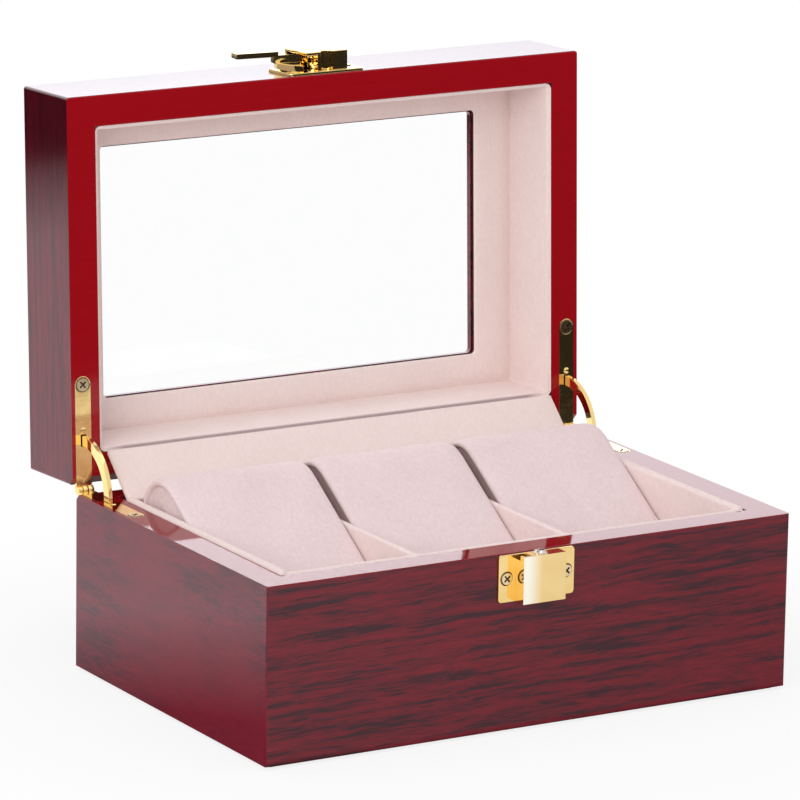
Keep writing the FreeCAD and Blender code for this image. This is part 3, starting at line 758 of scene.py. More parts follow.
@dataclass
class Studio:
    """The camera, the light and the floor. Its ramps are over places in metres."""

    azimuth: float = math.radians(30.94)
    elevation: float = math.radians(13.87)
    roll: float = math.radians(0.9926)
    stand: Point = (-0.99725, -1.65387, 0.57078)
    focal: float = 5962.7
    centre: Spot = (418.43, 408.15)
    image: float = 800.0
    sensor: float = 36.0
    view_end: float = 50.0
    white: Colour = (1.0, 1.0, 1.0)
    fill: Colour = (1.0, 0.985, 0.98)
    fill_level: float = 0.63
    below: Colour = (0.025, 0.022, 0.022)
    above: Colour = (0.95, 0.95, 0.95)
    horizon: Ramp = Ramp(-0.06, 0.02)
    floor_low: Spot = (-0.62, -0.46)
    floor_high: Spot = (0.27, 0.83)
    paper: Speckle = Speckle(40.0)
    paper_dark: Colour = (0.93, 0.93, 0.93)
    paper_pale: Colour = (0.96, 0.96, 0.96)
    shadow: Ramp = Ramp(0.14, 0.24, 0.84)
    # How the floor glows in mirrors, with painted shade near the box's left side and front.
    mirrored: Colour = (1.0, 0.985, 1.0)
    beside: Point = (-0.02, -0.07, 0.0)
    beside_reach: Ramp = Ramp(0.115, 0.235, 0.13)
    beside_depth: Ramp = Ramp(-0.15, 0.1, 0.85, 1.3)
    beside_end: Ramp = Ramp(0.68, 0.83, 1.0, 0.25)
    front_depth: Ramp = Ramp(-0.066, -0.27, 0.78, 1.15)
    front_across: Ramp = Ramp(-0.05, 0.16, 1.1, 0.78)
    front_start: Ramp = Ramp(-0.067, -0.075)
    top_box: Lamp = Lamp((-0.1, -0.15, 1.1), (0.0, 0.0, 0.05), (1.2, 1.0), 2.4)
    front_box: Lamp = Lamp((-1.3, -1.1, 0.8), (0.0, 0.0, 0.08), (1.0, 0.9), 11.2)
    back_low: Point = (-0.5, 1.0, 0.03)
    back_high: Point = (1.4, 1.0, 0.9)
    back_colour: Colour = (0.93, 0.95, 1.0)
    back_height: Ramp = Ramp(0.318, 0.334, 2.05, 2.65)
    back_across: Ramp = Ramp(0.5, 0.72, 1.06, 0.92)

    def build(self) -> None:
        """Sets up the studio."""
        bpy.context.scene.view_settings.view_transform = "Standard"
        self._camera()
        self._world()
        self._floor()
        self._lamp("top_box", self.top_box)
        self._lamp("front_box", self.front_box)
        self._back_box()

    def _camera(self) -> None:
        """Stands the camera where the photograph was taken from."""
        level = math.cos(self.elevation)
        east, north = math.sin(self.azimuth), math.cos(self.azimuth)
        ahead = Vector((east * level, north * level, -math.sin(self.elevation)))
        right = ahead.cross(Vector((0.0, 0.0, 1.0))).normalized()
        up = right.cross(ahead)
        across = right * math.cos(self.roll) + up * math.sin(self.roll)
        above = up * math.cos(self.roll) - right * math.sin(self.roll)
        lens = bpy.data.cameras.new("camera")
        lens.sensor_width = self.sensor
        lens.lens = self.focal / self.image * self.sensor
        lens.shift_x = (self.image / 2 - self.centre[0]) / self.image
        lens.shift_y = (self.centre[1] - self.image / 2) / self.image
        lens.clip_end = self.view_end
        camera = new_object("camera", lens)
        turn = Matrix((across, above, -ahead)).transposed().to_4x4()
        camera.matrix_world = Matrix.Translation(self.stand) @ turn
        bpy.context.scene.camera = camera

    def _world(self) -> None:
        """Lights the room softly and shows white behind the object."""
        world = bpy.context.scene.world = bpy.data.worlds.new("studio")
        world.use_nodes = True
        world.node_tree.nodes.clear()
        wiring = Wiring(world.node_tree)
        ray = wiring.add("ShaderNodeLightPath").outputs
        height = wiring.split(wiring.add("ShaderNodeTexCoord").outputs["Generated"])[2]
        room = wiring.blend(wiring.spread(height, self.horizon), self.below, self.above)
        lights = ((self.fill, self.fill_level), (room, 1.0), (self.white, 1.0))
        fill, mirrored, white = (wiring.glow("ShaderNodeBackground", *light) for light in lights)
        seen = wiring.math("MAXIMUM", ray["Is Camera Ray"], ray["Is Transmission Ray"])
        last = wiring.mix(seen, wiring.mix(ray["Is Glossy Ray"], fill, mirrored), white)
        wiring.add("ShaderNodeOutputWorld", {"Surface": last})

    def _sheet(self, name: str, corners: Sequence[Point]) -> tuple[Object, Wiring]:
        """Makes a flat sheet for the studio.

        Args:
            name: Its name.
            corners: Its corners in turn.

        Returns:
            The sheet and the wiring of its empty material.
        """
        mesh = bpy.data.meshes.new(name)
        mesh.from_pydata(corners, [], [tuple(range(len(corners)))])
        made = bpy.data.materials.new(name)
        made.use_nodes = True
        made.node_tree.nodes.clear()
        mesh.materials.append(made)
        sheet = new_object(name, mesh)
        return sheet, Wiring(made.node_tree)

    def _floor(self) -> None:
        """Lays the pale floor, which keeps a faint shadow and glows in mirrors, with painted shade that
        makes it darker near the box.
        """
        (west, south), (east, north) = self.floor_low, self.floor_high
        corners = [(west, south, 0.0), (east, south, 0.0), (east, north, 0.0), (west, north, 0.0)]
        wiring = self._sheet("floor", corners)[1]
        spot = wiring.place()
        across, depth, _ = wiring.split(spot)
        ray = wiring.add("ShaderNodeLightPath").outputs
        tone = wiring.blend(wiring.noise(spot, self.paper), self.paper_dark, self.paper_pale)
        matt = wiring.add("ShaderNodeBsdfDiffuse", {"Color": tone}).outputs[0]
        seen = wiring.math("MAXIMUM", ray["Is Camera Ray"], ray["Is Transmission Ray"])
        share = wiring.math("MULTIPLY", seen, wiring.spread(wiring.length(spot), self.shadow))
        surface = wiring.mix(share, matt, wiring.glow("ShaderNodeEmission", self.white, 1.0))
        # Painted shade in mirrors: the floor's glow is weak near the box and grows farther off.
        reach = wiring.length(wiring.vector("SUBTRACT", spot, self.beside))
        side = wiring.math("MULTIPLY", wiring.spread(reach, self.beside_reach),
                           wiring.spread(depth, self.beside_depth), wiring.spread(depth, self.beside_end))
        front = wiring.math("MULTIPLY", wiring.spread(depth, self.front_depth),
                            wiring.spread(across, self.front_across), wiring.spread(depth, self.front_start))
        mirrored = wiring.glow("ShaderNodeEmission", self.mirrored, wiring.math("MAXIMUM", side, front))
        glossy = wiring.math("SUBTRACT", ray["Is Glossy Ray"], ray["Is Transmission Ray"])
        last = wiring.mix(wiring.math("MAXIMUM", glossy, 0.0), surface, mirrored)
        wiring.add("ShaderNodeOutputMaterial", {"Surface": last})

    def _back_box(self) -> None:
        """Hangs the soft box behind the object, which only mirrors and glass show."""
        (left, y, low), (right, _, high) = self.back_low, self.back_high
        corners = [(left, y, low), (right, y, low), (right, y, high), (left, y, high)]
        sheet, wiring = self._sheet("back_box", corners)
        across, _, height = wiring.split(wiring.place())
        level = wiring.math("MULTIPLY", wiring.spread(height, self.back_height),
                            wiring.spread(across, self.back_across))
        glow = wiring.glow("ShaderNodeEmission", self.back_colour, level)
        wiring.add("ShaderNodeOutputMaterial", {"Surface": glow})
        sheet.visible_camera = sheet.visible_diffuse = sheet.visible_shadow = False

    @staticmethod
    def _lamp(name: str, box: Lamp) -> None:
        """Hangs one soft box.

        Args:
            name: Its name.
            box: Its place, size and power.
        """
        light = bpy.data.lights.new(name, "AREA")
        light.shape = "RECTANGLE"
        light.size, light.size_y = box.size
        light.energy = box.power
        lamp = new_object(name, light)
        lamp.location = box.stand
        lamp.rotation_euler = (Vector(box.aim) - Vector(box.stand)).to_track_quat("-Z", "Y").to_euler()
        lamp.visible_camera = False


@dataclass
class Shell:
    """The lacquered boards of the base and of the lid."""

    bench: Workbench
    half_width: float = 100.0 * MM
    half_depth: float = 66.0 * MM
    corner: float = 1.0 * MM
    corner_steps: int = 4
    edge: float = 0.4 * MM
    edge_steps: int = 3
    long_edge: float = 20.0 * MM
    square: float = 0.99
    rim: float = 61.2 * MM
    lid_rim: float = 61.6 * MM
    rim_band: float = 1.0 * MM
    rim_facing: float = 0.4
    window_room: Spot = (75.0 * MM, 45.0 * MM)
    window_edges: float = 80.0 * MM
    window_shift: Spot = (1.1 * MM, 0.2 * MM)
    window_steps: int = 2
    pane_edge: float = 0.15 * MM
    pane_steps: int = 1
    pane_turn: float = 60.0
    felt_edge: float = 0.5 * MM
    felt_pitch: float = 12.0 * MM

    def build(self) -> None:
        """Makes the boards."""
        finishes = self.bench.palette
        frames = (("base", "panel", finishes.depth_grain), ("lid", "rail", finishes.lid_grain))
        for body, kind, sides in frames:
            for side in ("front", "back"):
                self._board(f"{body}_{side}_{kind}", 0, finishes.width_grain, body)
            for side in SIDES:
                self._board(f"{body}_{side}_{kind}", 1, sides, body)
        self._window_frame()
        self.bench.keep("base_bottom_panel", finishes.board)
        felt = self.bench.soft_board(*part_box("bottom_felt"), self.felt_edge, self.felt_pitch, swell=0.0)
        self.bench.piece("box_felt", felt, [finishes.felt], "base", "felt", ["bottom_felt"])

    def _board(self, node: str, along: int, grain: Material, body: str) -> None:
        """Makes one board with eased edges, a round corner and a plain rim.

        Args:
            node: The solid that it stands for.
            along: The number of the axis that it runs along.
            grain: The finish of its faces.
            body: The body that it rides on.
        """
        on_lid = body == "lid"
        finishes = self.bench.palette
        level, facing, rim = self.rim, 1.0, finishes.rim
        if on_lid:
            level, facing, rim = self.lid_rim, -1.0, finishes.lid_rim
        shape = self.bench.copy_of(node, on_lid)
        self.bench.ease(shape, self.edge, self.edge_steps, self._is_outside)
        half = (self.half_width, self.half_depth)[along]
        cuts = [half - self.corner * i / self.corner_steps for i in range(1, self.corner_steps + 1)]
        self.bench.slice(shape, along, [*cuts, *(-at for at in cuts)])
        for vert in shape.verts:
            self._round(vert)
        shape.normal_update()
        for face in shape.faces:
            near = abs(face.calc_center_median().z - level) < self.rim_band
            face.material_index = int(near and face.normal.z * facing > self.rim_facing)
        if on_lid:
            shape.transform(LID_OPEN)
        self.bench.piece(f"{node}_lacquered", shape, [grain, rim], body, "lacquered_wood", [node],
                         weighted=True)

    def _is_outside(self, edge: BMEdge) -> bool:
        """Says if an edge is a long one between two faces that are square to the box."""
        square = (sum(abs(part) > self.square for part in face.normal) == 1 for face in edge.link_faces)
        return edge.calc_length() >= self.long_edge and all(square)

    def _round(self, vert: BMVert) -> None:
        """Moves a point of a square corner on to the round one.

        Args:
            vert: The point, which may lie anywhere on the board.
        """
        start_x, start_y = self.half_width - self.corner, self.half_depth - self.corner
        u, v = abs(vert.co.x) - start_x, abs(vert.co.y) - start_y
        if min(u, v) <= TINY:
            return
        reach = max(u, v)
        turn = QUARTER / 2 * min(u, v) / reach
        far, near = reach * math.cos(turn), reach * math.sin(turn)
        u, v = (far, near) if u >= v else (near, far)
        vert.co.x = math.copysign(start_x + u, vert.co.x)
        vert.co.y = math.copysign(start_y + v, vert.co.y)

    def _window_frame(self) -> None:
        """Makes the lid's top round the window, and the glass in it."""
        finishes = self.bench.palette
        shape = self.bench.copy_of("lid_top_frame", True)
        high = max(vert.co.z for vert in shape.verts)
        self.bench.ease(shape, self.edge, self.window_steps, lambda edge: self._round_window(edge, high))
        for vert in shape.verts:
            if abs(vert.co.x) < self.window_room[0] and abs(vert.co.y) < self.window_room[1]:
                vert.co.x -= self.window_shift[0] if vert.co.x < 0.0 else 0.0
                vert.co.y -= self.window_shift[1] if vert.co.y < 0.0 else 0.0
        shape.transform(LID_OPEN)
        self.bench.piece("lid_top_lacquered", shape, [finishes.width_grain], "lid", "lacquered_wood",
                         ["lid_top_frame"], weighted=True)
        pane = self.bench.copy_of("window_glass", True)
        self.bench.ease(pane, self.pane_edge, self.pane_steps, least=self.pane_turn)
        pane.transform(LID_OPEN)
        glass = self.bench.piece("window_pane", pane, [finishes.glass], "lid", "glass", ["window_glass"])
        glass.visible_shadow = False

    def _round_window(self, edge: BMEdge, level: float) -> bool:
        """Says if an edge goes round the window on the lid's outer face."""
        return all(abs(vert.co.z - level) < LEVEL and abs(vert.co.x) < self.window_edges
                   for vert in edge.verts)


def loft(loops: Sequence[Sequence[Point]], closed: bool) -> BMesh:
    """Joins loops of points with faces.

    Args:
        loops: The loops in turn.
        closed: If the last joins the first.

    Returns:
        The mesh.
    """
    shape = bmesh.new()
    rows = [[shape.verts.new(point) for point in loop] for loop in loops]
    for first, second in zip(rows, rows[1:] + rows[:1] if closed else rows[1:]):
        for i in range(len(first)):
            j = (i + 1) % len(first)
            shape.faces.new((first[i], first[j], second[j], second[i]))
    bmesh.ops.recalc_face_normals(shape, faces=shape.faces)
    return shape


@dataclass
class Linings:
    """The velvet-covered boards of the base, the lid's lining and the flap."""

    bench: Workbench
    crease: float = 50.0
    tuck: float = 2.3 * MM
    flap_foot: Spot = (52.1 * MM, 60.6 * MM)
    flap_lean: float = math.radians(47.0)
    flap_height: float = 18.9 * MM
    flap_half: float = 1.0 * MM
    flap_edge: float = 0.95 * MM
    flap_pitch: float = 4.0 * MM
    wall_x: float = 89.4 * MM
    wall_y: float = 55.4 * MM
    corner: float = 2.2 * MM
    least_radius: float = 0.05 * MM
    corner_steps: int = 6
    side_steps: int = 24
    lip_level: float = 62.3 * MM
    lip: float = 0.65 * MM
    lip_steps: int = 4
    welt: float = 61.72 * MM
    welt_line: tuple[Spot, ...] = ((0.0, 0.0), (0.12, -0.04), (0.26, 0.12), (0.42, 0.52))
    wall_rows: Point = (0.25, 0.5, 0.75)
    cove: float = 0.5 * MM
    cove_steps: int = 6
    overlap: float = 0.3 * MM
    # Painted shade on the lip's roll behind the flap, by row of the lining.
    fold_shade_shares: tuple[float, ...] = (1.0, 1.0, 1.0, 1.0, 1.0, 0.95, 0.85, 0.6, 0.25)
    fold_depth: float = 2.5 * MM
    fold_ends: float = 6.0 * MM
    border: float = 86.6 * MM
    ceiling: float = 88.2 * MM
    sink: float = 1.2 * MM
    crown: float = 0.55 * MM
    crown_share: float = 0.35
    brink_share: float = 0.6
    brink_curve: float = 1.5
    turn_in: float = 0.7 * MM
    turn_share: float = 0.06
    border_rows: tuple[float, ...] = (
        0.012, 0.03, 0.06, 0.12, 0.2, 0.3, 0.42, 0.55, 0.68, 0.8, 0.9, 0.96, 1.0)
    window_x: float = 73.3 * MM
    window_y: float = 43.0 * MM
    window_radius: float = 1.5 * MM
    window_shift: Spot = (1.1 * MM, 0.9 * MM)
    window_band: float = 2.0 * MM
    window_facing: float = 0.2

    def build(self) -> None:
        """Makes the linings."""
        edges = {"base_liner_floor": 0.6, "base_liner_front": 1.2, "base_liner_back": 1.4,
                 "base_liner_left": 1.5, "base_liner_right": 1.5, "divider_left": 1.0, "divider_right": 1.0}
        for node, edge in edges.items():
            low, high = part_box(node)
            if node in ("base_liner_left", "base_liner_right"):
                low.y -= self.tuck
            self._piece(f"{node}_velvet", self.bench.soft_board(low, high, edge * MM), "base", [node])
        self._flap()
        self._lid_walls()
        self._border()

    def _piece(self, name: str, shape: BMesh, body: str, nodes: Sequence[str], *more: Material) -> Object:
        """Makes a velvet piece, which may have more finishes."""
        finishes = [self.bench.palette.velvet, *more]
        return self.bench.piece(name, shape, finishes, body, "velvet", nodes, self.crease)

    def _flap(self) -> None:
        """Makes the flap behind the pillows, leaning back with the lid."""
        low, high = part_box("rear_flap")
        y, z = self.flap_foot
        shape = self.bench.soft_board((low.x, y - self.flap_half, z - self.flap_half),
                                      (high.x, y + self.flap_half, z + self.flap_height + self.flap_half),
                                      self.flap_edge, self.flap_pitch)
        shape.transform(turned(Vector((0.0, y, z)), -self.flap_lean))
        self._piece("rear_flap_velvet", shape, "rear_flap", ["rear_flap"])

    def _path(self, half_x: float, half_y: float, radius: float) -> list[Spot]:
        """Follows a round-cornered rectangle.

        Args:
            half_x: Half its width.
            half_y: Half its depth.
            radius: Its corners' radius.

        Returns:
            The points in turn.
        """
        radius = max(radius, self.least_radius)
        corners: list[list[Spot]] = []
        for quarter, (sx, sy) in enumerate(((1, 1), (-1, 1), (-1, -1), (1, -1))):
            turns = [QUARTER * (quarter + step / self.corner_steps) for step in range(self.corner_steps + 1)]
            corners.append([(sx * (half_x - radius) + radius * math.cos(turn),
                             sy * (half_y - radius) + radius * math.sin(turn)) for turn in turns])
        points: list[Spot] = []
        for corner, following in zip(corners, corners[1:] + corners[:1]):
            (x, y), (end_x, end_y) = corner[-1], following[0]
            shares = [step / self.side_steps for step in range(1, self.side_steps)]
            points += corner + [(x + (end_x - x) * share, y + (end_y - y) * share) for share in shares]
        return points

    def _lid_walls(self) -> None:
        """Makes the lining of the lid's walls, with a rolled lip at the rim and a cove at the border."""
        profile = [(0.0, self.lip_level + self.lip)]
        profile += [(inset * MM, self.welt + rise * MM) for inset, rise in self.welt_line]
        for step in range(self.lip_steps + 1):
            turn = QUARTER * (3.0 + step / self.lip_steps)
            profile.append((self.lip + self.lip * math.cos(turn),
                            self.lip_level + self.lip + self.lip * math.sin(turn)))
        inner, top = 2 * self.lip, self.border + self.sink - self.cove
        profile += [(inner, self.lip_level + (top - self.lip_level) * share) for share in self.wall_rows]
        for step in range(self.cove_steps + 1):
            turn = QUARTER * step / self.cove_steps
            profile.append((inner + self.cove * (1.0 - math.cos(turn)), top + self.cove * math.sin(turn)))
        end = self.border + self.sink + self.overlap
        profile += [(inner + self.cove, end), (0.0, end)]
        loops = []
        for inset, z in profile:
            path = self._path(self.wall_x - inset, self.wall_y - inset, self.corner - inset)
            loops.append([(x, y, z) for x, y in path])
        shape = loft(loops, True)
        shape.transform(LID_OPEN)
        nodes = [f"lid_liner_{side}" for side in ("front", "back", *SIDES)]
        lining = self._piece("lid_wall_lining", shape, "lid", nodes)
        self._paint_fold_shade(lining.data, len(loops[0]))

    def _paint_fold_shade(self, mesh: Mesh, around: int) -> None:
        """Paints shade on the lip's roll behind the flap, which lies in a fold.

        Args:
            mesh: The lining's mesh.
            around: How many points each of its rows has.
        """
        shares = []
        for i, vert in enumerate(mesh.vertices):
            spot, row = LID_SHUT @ vert.co, i // around
            behind = spot.y > self.wall_y - self.fold_depth and abs(spot.x) < self.wall_x - self.fold_ends
            shares.append(self.fold_shade_shares[row] if behind and row < len(self.fold_shade_shares) else 0.0)
        paint_shade(mesh, shares)

    def _border(self) -> None:
        """Makes the softly padded border round the window."""
        rows: list[Spot] = [(0.0, self.ceiling), (0.0, self.border + self.turn_in)]
        for share in self.border_rows:
            rise = self.crown * math.sin(QUARTER * min(1.0, share / self.crown_share))
            past = max(0.0, (share - self.brink_share) / (1.0 - self.brink_share))
            curl = max(0.0, 1.0 - share / self.turn_share)
            fall = (self.crown + self.sink) * past ** self.brink_curve
            rows.append((share, self.border - rise + fall + self.turn_in * curl ** 2))
        rows.append((1.0, self.ceiling))
        loops = []
        for share, z in rows:
            half_x = self.window_x + (self.wall_x - self.window_x) * share
            half_y = self.window_y + (self.wall_y - self.window_y) * share
            radius = self.window_radius + (self.corner - self.window_radius) * share
            left, front = (shift * (1.0 - share) for shift in self.window_shift)
            path = self._path(half_x, half_y, radius)
            loops.append([(x - (left if x < 0.0 else 0.0), y - (front if y < 0.0 else 0.0), z)
                          for x, y in path])
        shape = loft(loops, True)
        shape.normal_update()
        wide, deep = self.window_x + self.window_band, self.window_y + self.window_band
        for face in shape.faces:
            centre = face.calc_center_median()
            at_window = abs(centre.x) < wide and abs(centre.y) < deep
            face.material_index = int(at_window and abs(face.normal.z) < self.window_facing)
        shape.transform(LID_OPEN)
        self._piece("lid_border_velvet", shape, "lid", ["lid_liner_top"], self.bench.palette.window_edge)


@dataclass
class Pillows:
    """The stuffed pillows, each a velvet sleeve with rolled ends over a sloping core."""

    bench: Workbench
    pitch: float = 58.0 * MM
    half_width: float = 27.5 * MM
    crown: Point = (32.9 * MM, 58.0 * MM, 14.4 * MM)
    nose: Point = (-33.0 * MM, 20.0 * MM, 11.5 * MM)
    heel: Point = (37.4 * MM, 17.5 * MM, 9.0 * MM)
    round_steps: int = 40
    around: int = 96
    board_rows: tuple[Spot, ...] = ((1.5, 10.3), (1.5, 4.2), (1.55, 3.4))
    hem_rows: tuple[Spot, ...] = (
        (1.0, 3.2), (0.25, 2.85), (0.0, 2.04), (0.35, 1.275), (1.5, 0.75), (3.4, 0.495))
    side_inset: float = 0.45 * MM
    side_pitch: float = 2.5 * MM
    # Painted shade on the ends that face another pillow, by ring from the end.
    shade_shares: tuple[float, ...] = (1.0, 1.0, 1.0, 1.0, 0.7, 0.3, 0.1)
    held_from: float = 2.5 * MM
    held_over: float = 2.0 * MM
    frames: int = 20
    most_move: float = 1.3 * MM
    floor: float = 8.3 * MM
    fill: float = 0.75
    smoothing: int = 2

    def build(self) -> None:
        """Makes the three pillows from one stuffed sleeve."""
        sleeve = self._sleeve()
        self._stuff(sleeve)
        for name, place in (("left", -1), ("middle", 0), ("right", 1)):
            body = f"pillow_{name}"
            mesh = sleeve.copy()
            mesh.name = f"{body}_stuffed"
            self._paint_end_shade(mesh, place)
            mesh.transform(Matrix.Translation((place * self.pitch, 0.0, 0.0)))
            piece = new_object(mesh.name, mesh)
            smooth = piece.modifiers.new("soft", "SUBSURF")
            smooth.levels = smooth.render_levels = self.smoothing
            nodes = [f"{body}_{part}" for part in ("cover", "core", "boards")]
            self.bench.place(piece, body, "velvet", nodes)

    def _paint_end_shade(self, mesh: Mesh, place: int) -> None:
        """Paints shade on the ends that face another pillow.

        Args:
            mesh: The pillow's mesh, still in the middle.
            place: Its place from the middle.
        """
        rings = len(mesh.vertices) // self.around
        shares = []
        for ring in range(rings):
            from_end = min(ring, rings - 1 - ring)
            beside = place >= 0 if ring < rings / 2 else place <= 0
            share = self.shade_shares[from_end] if beside and from_end < len(self.shade_shares) else 0.0
            shares += [share] * self.around
        paint_shade(mesh, shares)

    def _outline(self, inset: float) -> list[Spot]:
        """Follows a pillow's side outline, evenly divided.

        Args:
            inset: How far it is drawn in.

        Returns:
            The points in turn.
        """
        rounds = [self.crown, self.nose, self.heel]
        normals: list[Vector] = []
        for (y, z, r), (next_y, next_z, next_r) in zip(rounds, rounds[1:] + rounds[:1]):
            run = Vector((next_y - y, next_z - z))
            lean = math.asin((r - next_r) / run.length)
            along = run.normalized()
            normals.append(Vector((along.y, -along.x)) * math.cos(lean) + along * math.sin(lean))
        dense: list[Vector] = []
        for i, (y, z, r) in enumerate(rounds):
            first, last = normals[i - 1], normals[i]
            start = math.atan2(first.y, first.x)
            sweep = (math.atan2(last.y, last.x) - start) % math.tau
            for step in range(self.round_steps + 1):
                turn = start + sweep * step / self.round_steps
                dense.append(Vector((y + (r - inset) * math.cos(turn), z + (r - inset) * math.sin(turn))))
        return self._even(dense)

    def _even(self, dense: Sequence[Vector]) -> list[Spot]:
        """Divides a closed line of points evenly.

        Args:
            dense: The points in turn.

        Returns:
            The even points.
        """
        runs = [(end - start).length for start, end in zip(dense, [*dense[1:], dense[0]])]
        total, points, passed, at = sum(runs), [], 0.0, 0
        for i in range(self.around):
            goal = total * i / self.around
            while passed + runs[at] < goal:
                passed += runs[at]
                at += 1
            end = dense[(at + 1) % len(dense)]
            points.append(tuple(dense[at].lerp(end, (goal - passed) / max(runs[at], TINY))))
        return points

    def _sleeve(self) -> Mesh:
        """Makes the sleeve with its rolled ends and sunk end boards, before it is stuffed.

        Returns:
            The sleeve's mesh.
        """
        ends = [(inward * MM, inset * MM) for inward, inset in self.board_rows + self.hem_rows]
        start = ends[-1][0]
        count = int((self.half_width - start) / self.side_pitch)
        ends += [(start + self.side_pitch * (i + 1), self.side_inset) for i in range(count)]
        rows = [(inward - self.half_width, inset) for inward, inset in ends]
        rows += [(0.0, self.side_inset)] + [(-x, inset) for x, inset in reversed(rows)]
        shape = loft([[(x, y, z) for y, z in self._outline(inset)] for x, inset in rows], False)
        shape.verts.ensure_lookup_table()
        points = len(shape.verts)
        for ring in (range(self.around), range(points - self.around, points)):
            shape.faces.new([shape.verts[i] for i in ring])
        bmesh.ops.recalc_face_normals(shape, faces=shape.faces)
        for face in shape.faces:
            face.smooth = True
        mesh = bpy.data.meshes.new("sleeve")
        shape.to_mesh(mesh)
        shape.free()
        mesh.materials.append(self.bench.palette.plush)
        return mesh

    def _stuff(self, sleeve: Mesh) -> None:
        """Blows the sleeve up with a cloth simulation, held at its ends and kept off the floor.

        Args:
            sleeve: The sleeve's mesh, whose points are moved.
        """
        scene = bpy.context.scene
        work = new_object("stuffing", sleeve.copy())
        held = work.vertex_groups.new(name="held")
        limit = self.half_width - self.held_from
        for vert in sleeve.vertices:
            share = min(1.0, max(0.0, (abs(vert.co.x) - limit) / self.held_over))
            held.add([vert.index], share, "REPLACE")
        cloth = work.modifiers.new("cloth", "CLOTH").settings
        settings = {"quality": 6, "mass": 0.05, "tension_stiffness": 12.0, "compression_stiffness": 12.0,
                    "bending_stiffness": 0.4, "use_pressure": True, "uniform_pressure_force": 4.0,
                    "vertex_group_mass": held.name}
        for key, value in settings.items():
            setattr(cloth, key, value)
        cloth.effector_weights.gravity = 0.0
        for step in range(1, self.frames + 1):
            scene.frame_set(step)
        blown = work.evaluated_get(bpy.context.evaluated_depsgraph_get()).to_mesh()
        moves = [end.co - start.co for start, end in zip(sleeve.vertices, blown.vertices)]
        LOG.info("stuffing moved the cloth by up to %.2f mm", max(move.length for move in moves) / MM)
        for vert, move in zip(sleeve.vertices, moves):
            vert.co += move * min(1.0, self.most_move / max(move.length, TINY))
            vert.co.z = max(vert.co.z, self.floor)
        scene.frame_set(1)
        bpy.data.objects.remove(work)


class HeadSize(NamedTuple):
    """A screw head's radius and how far it rises."""

    radius: float
    rise: float


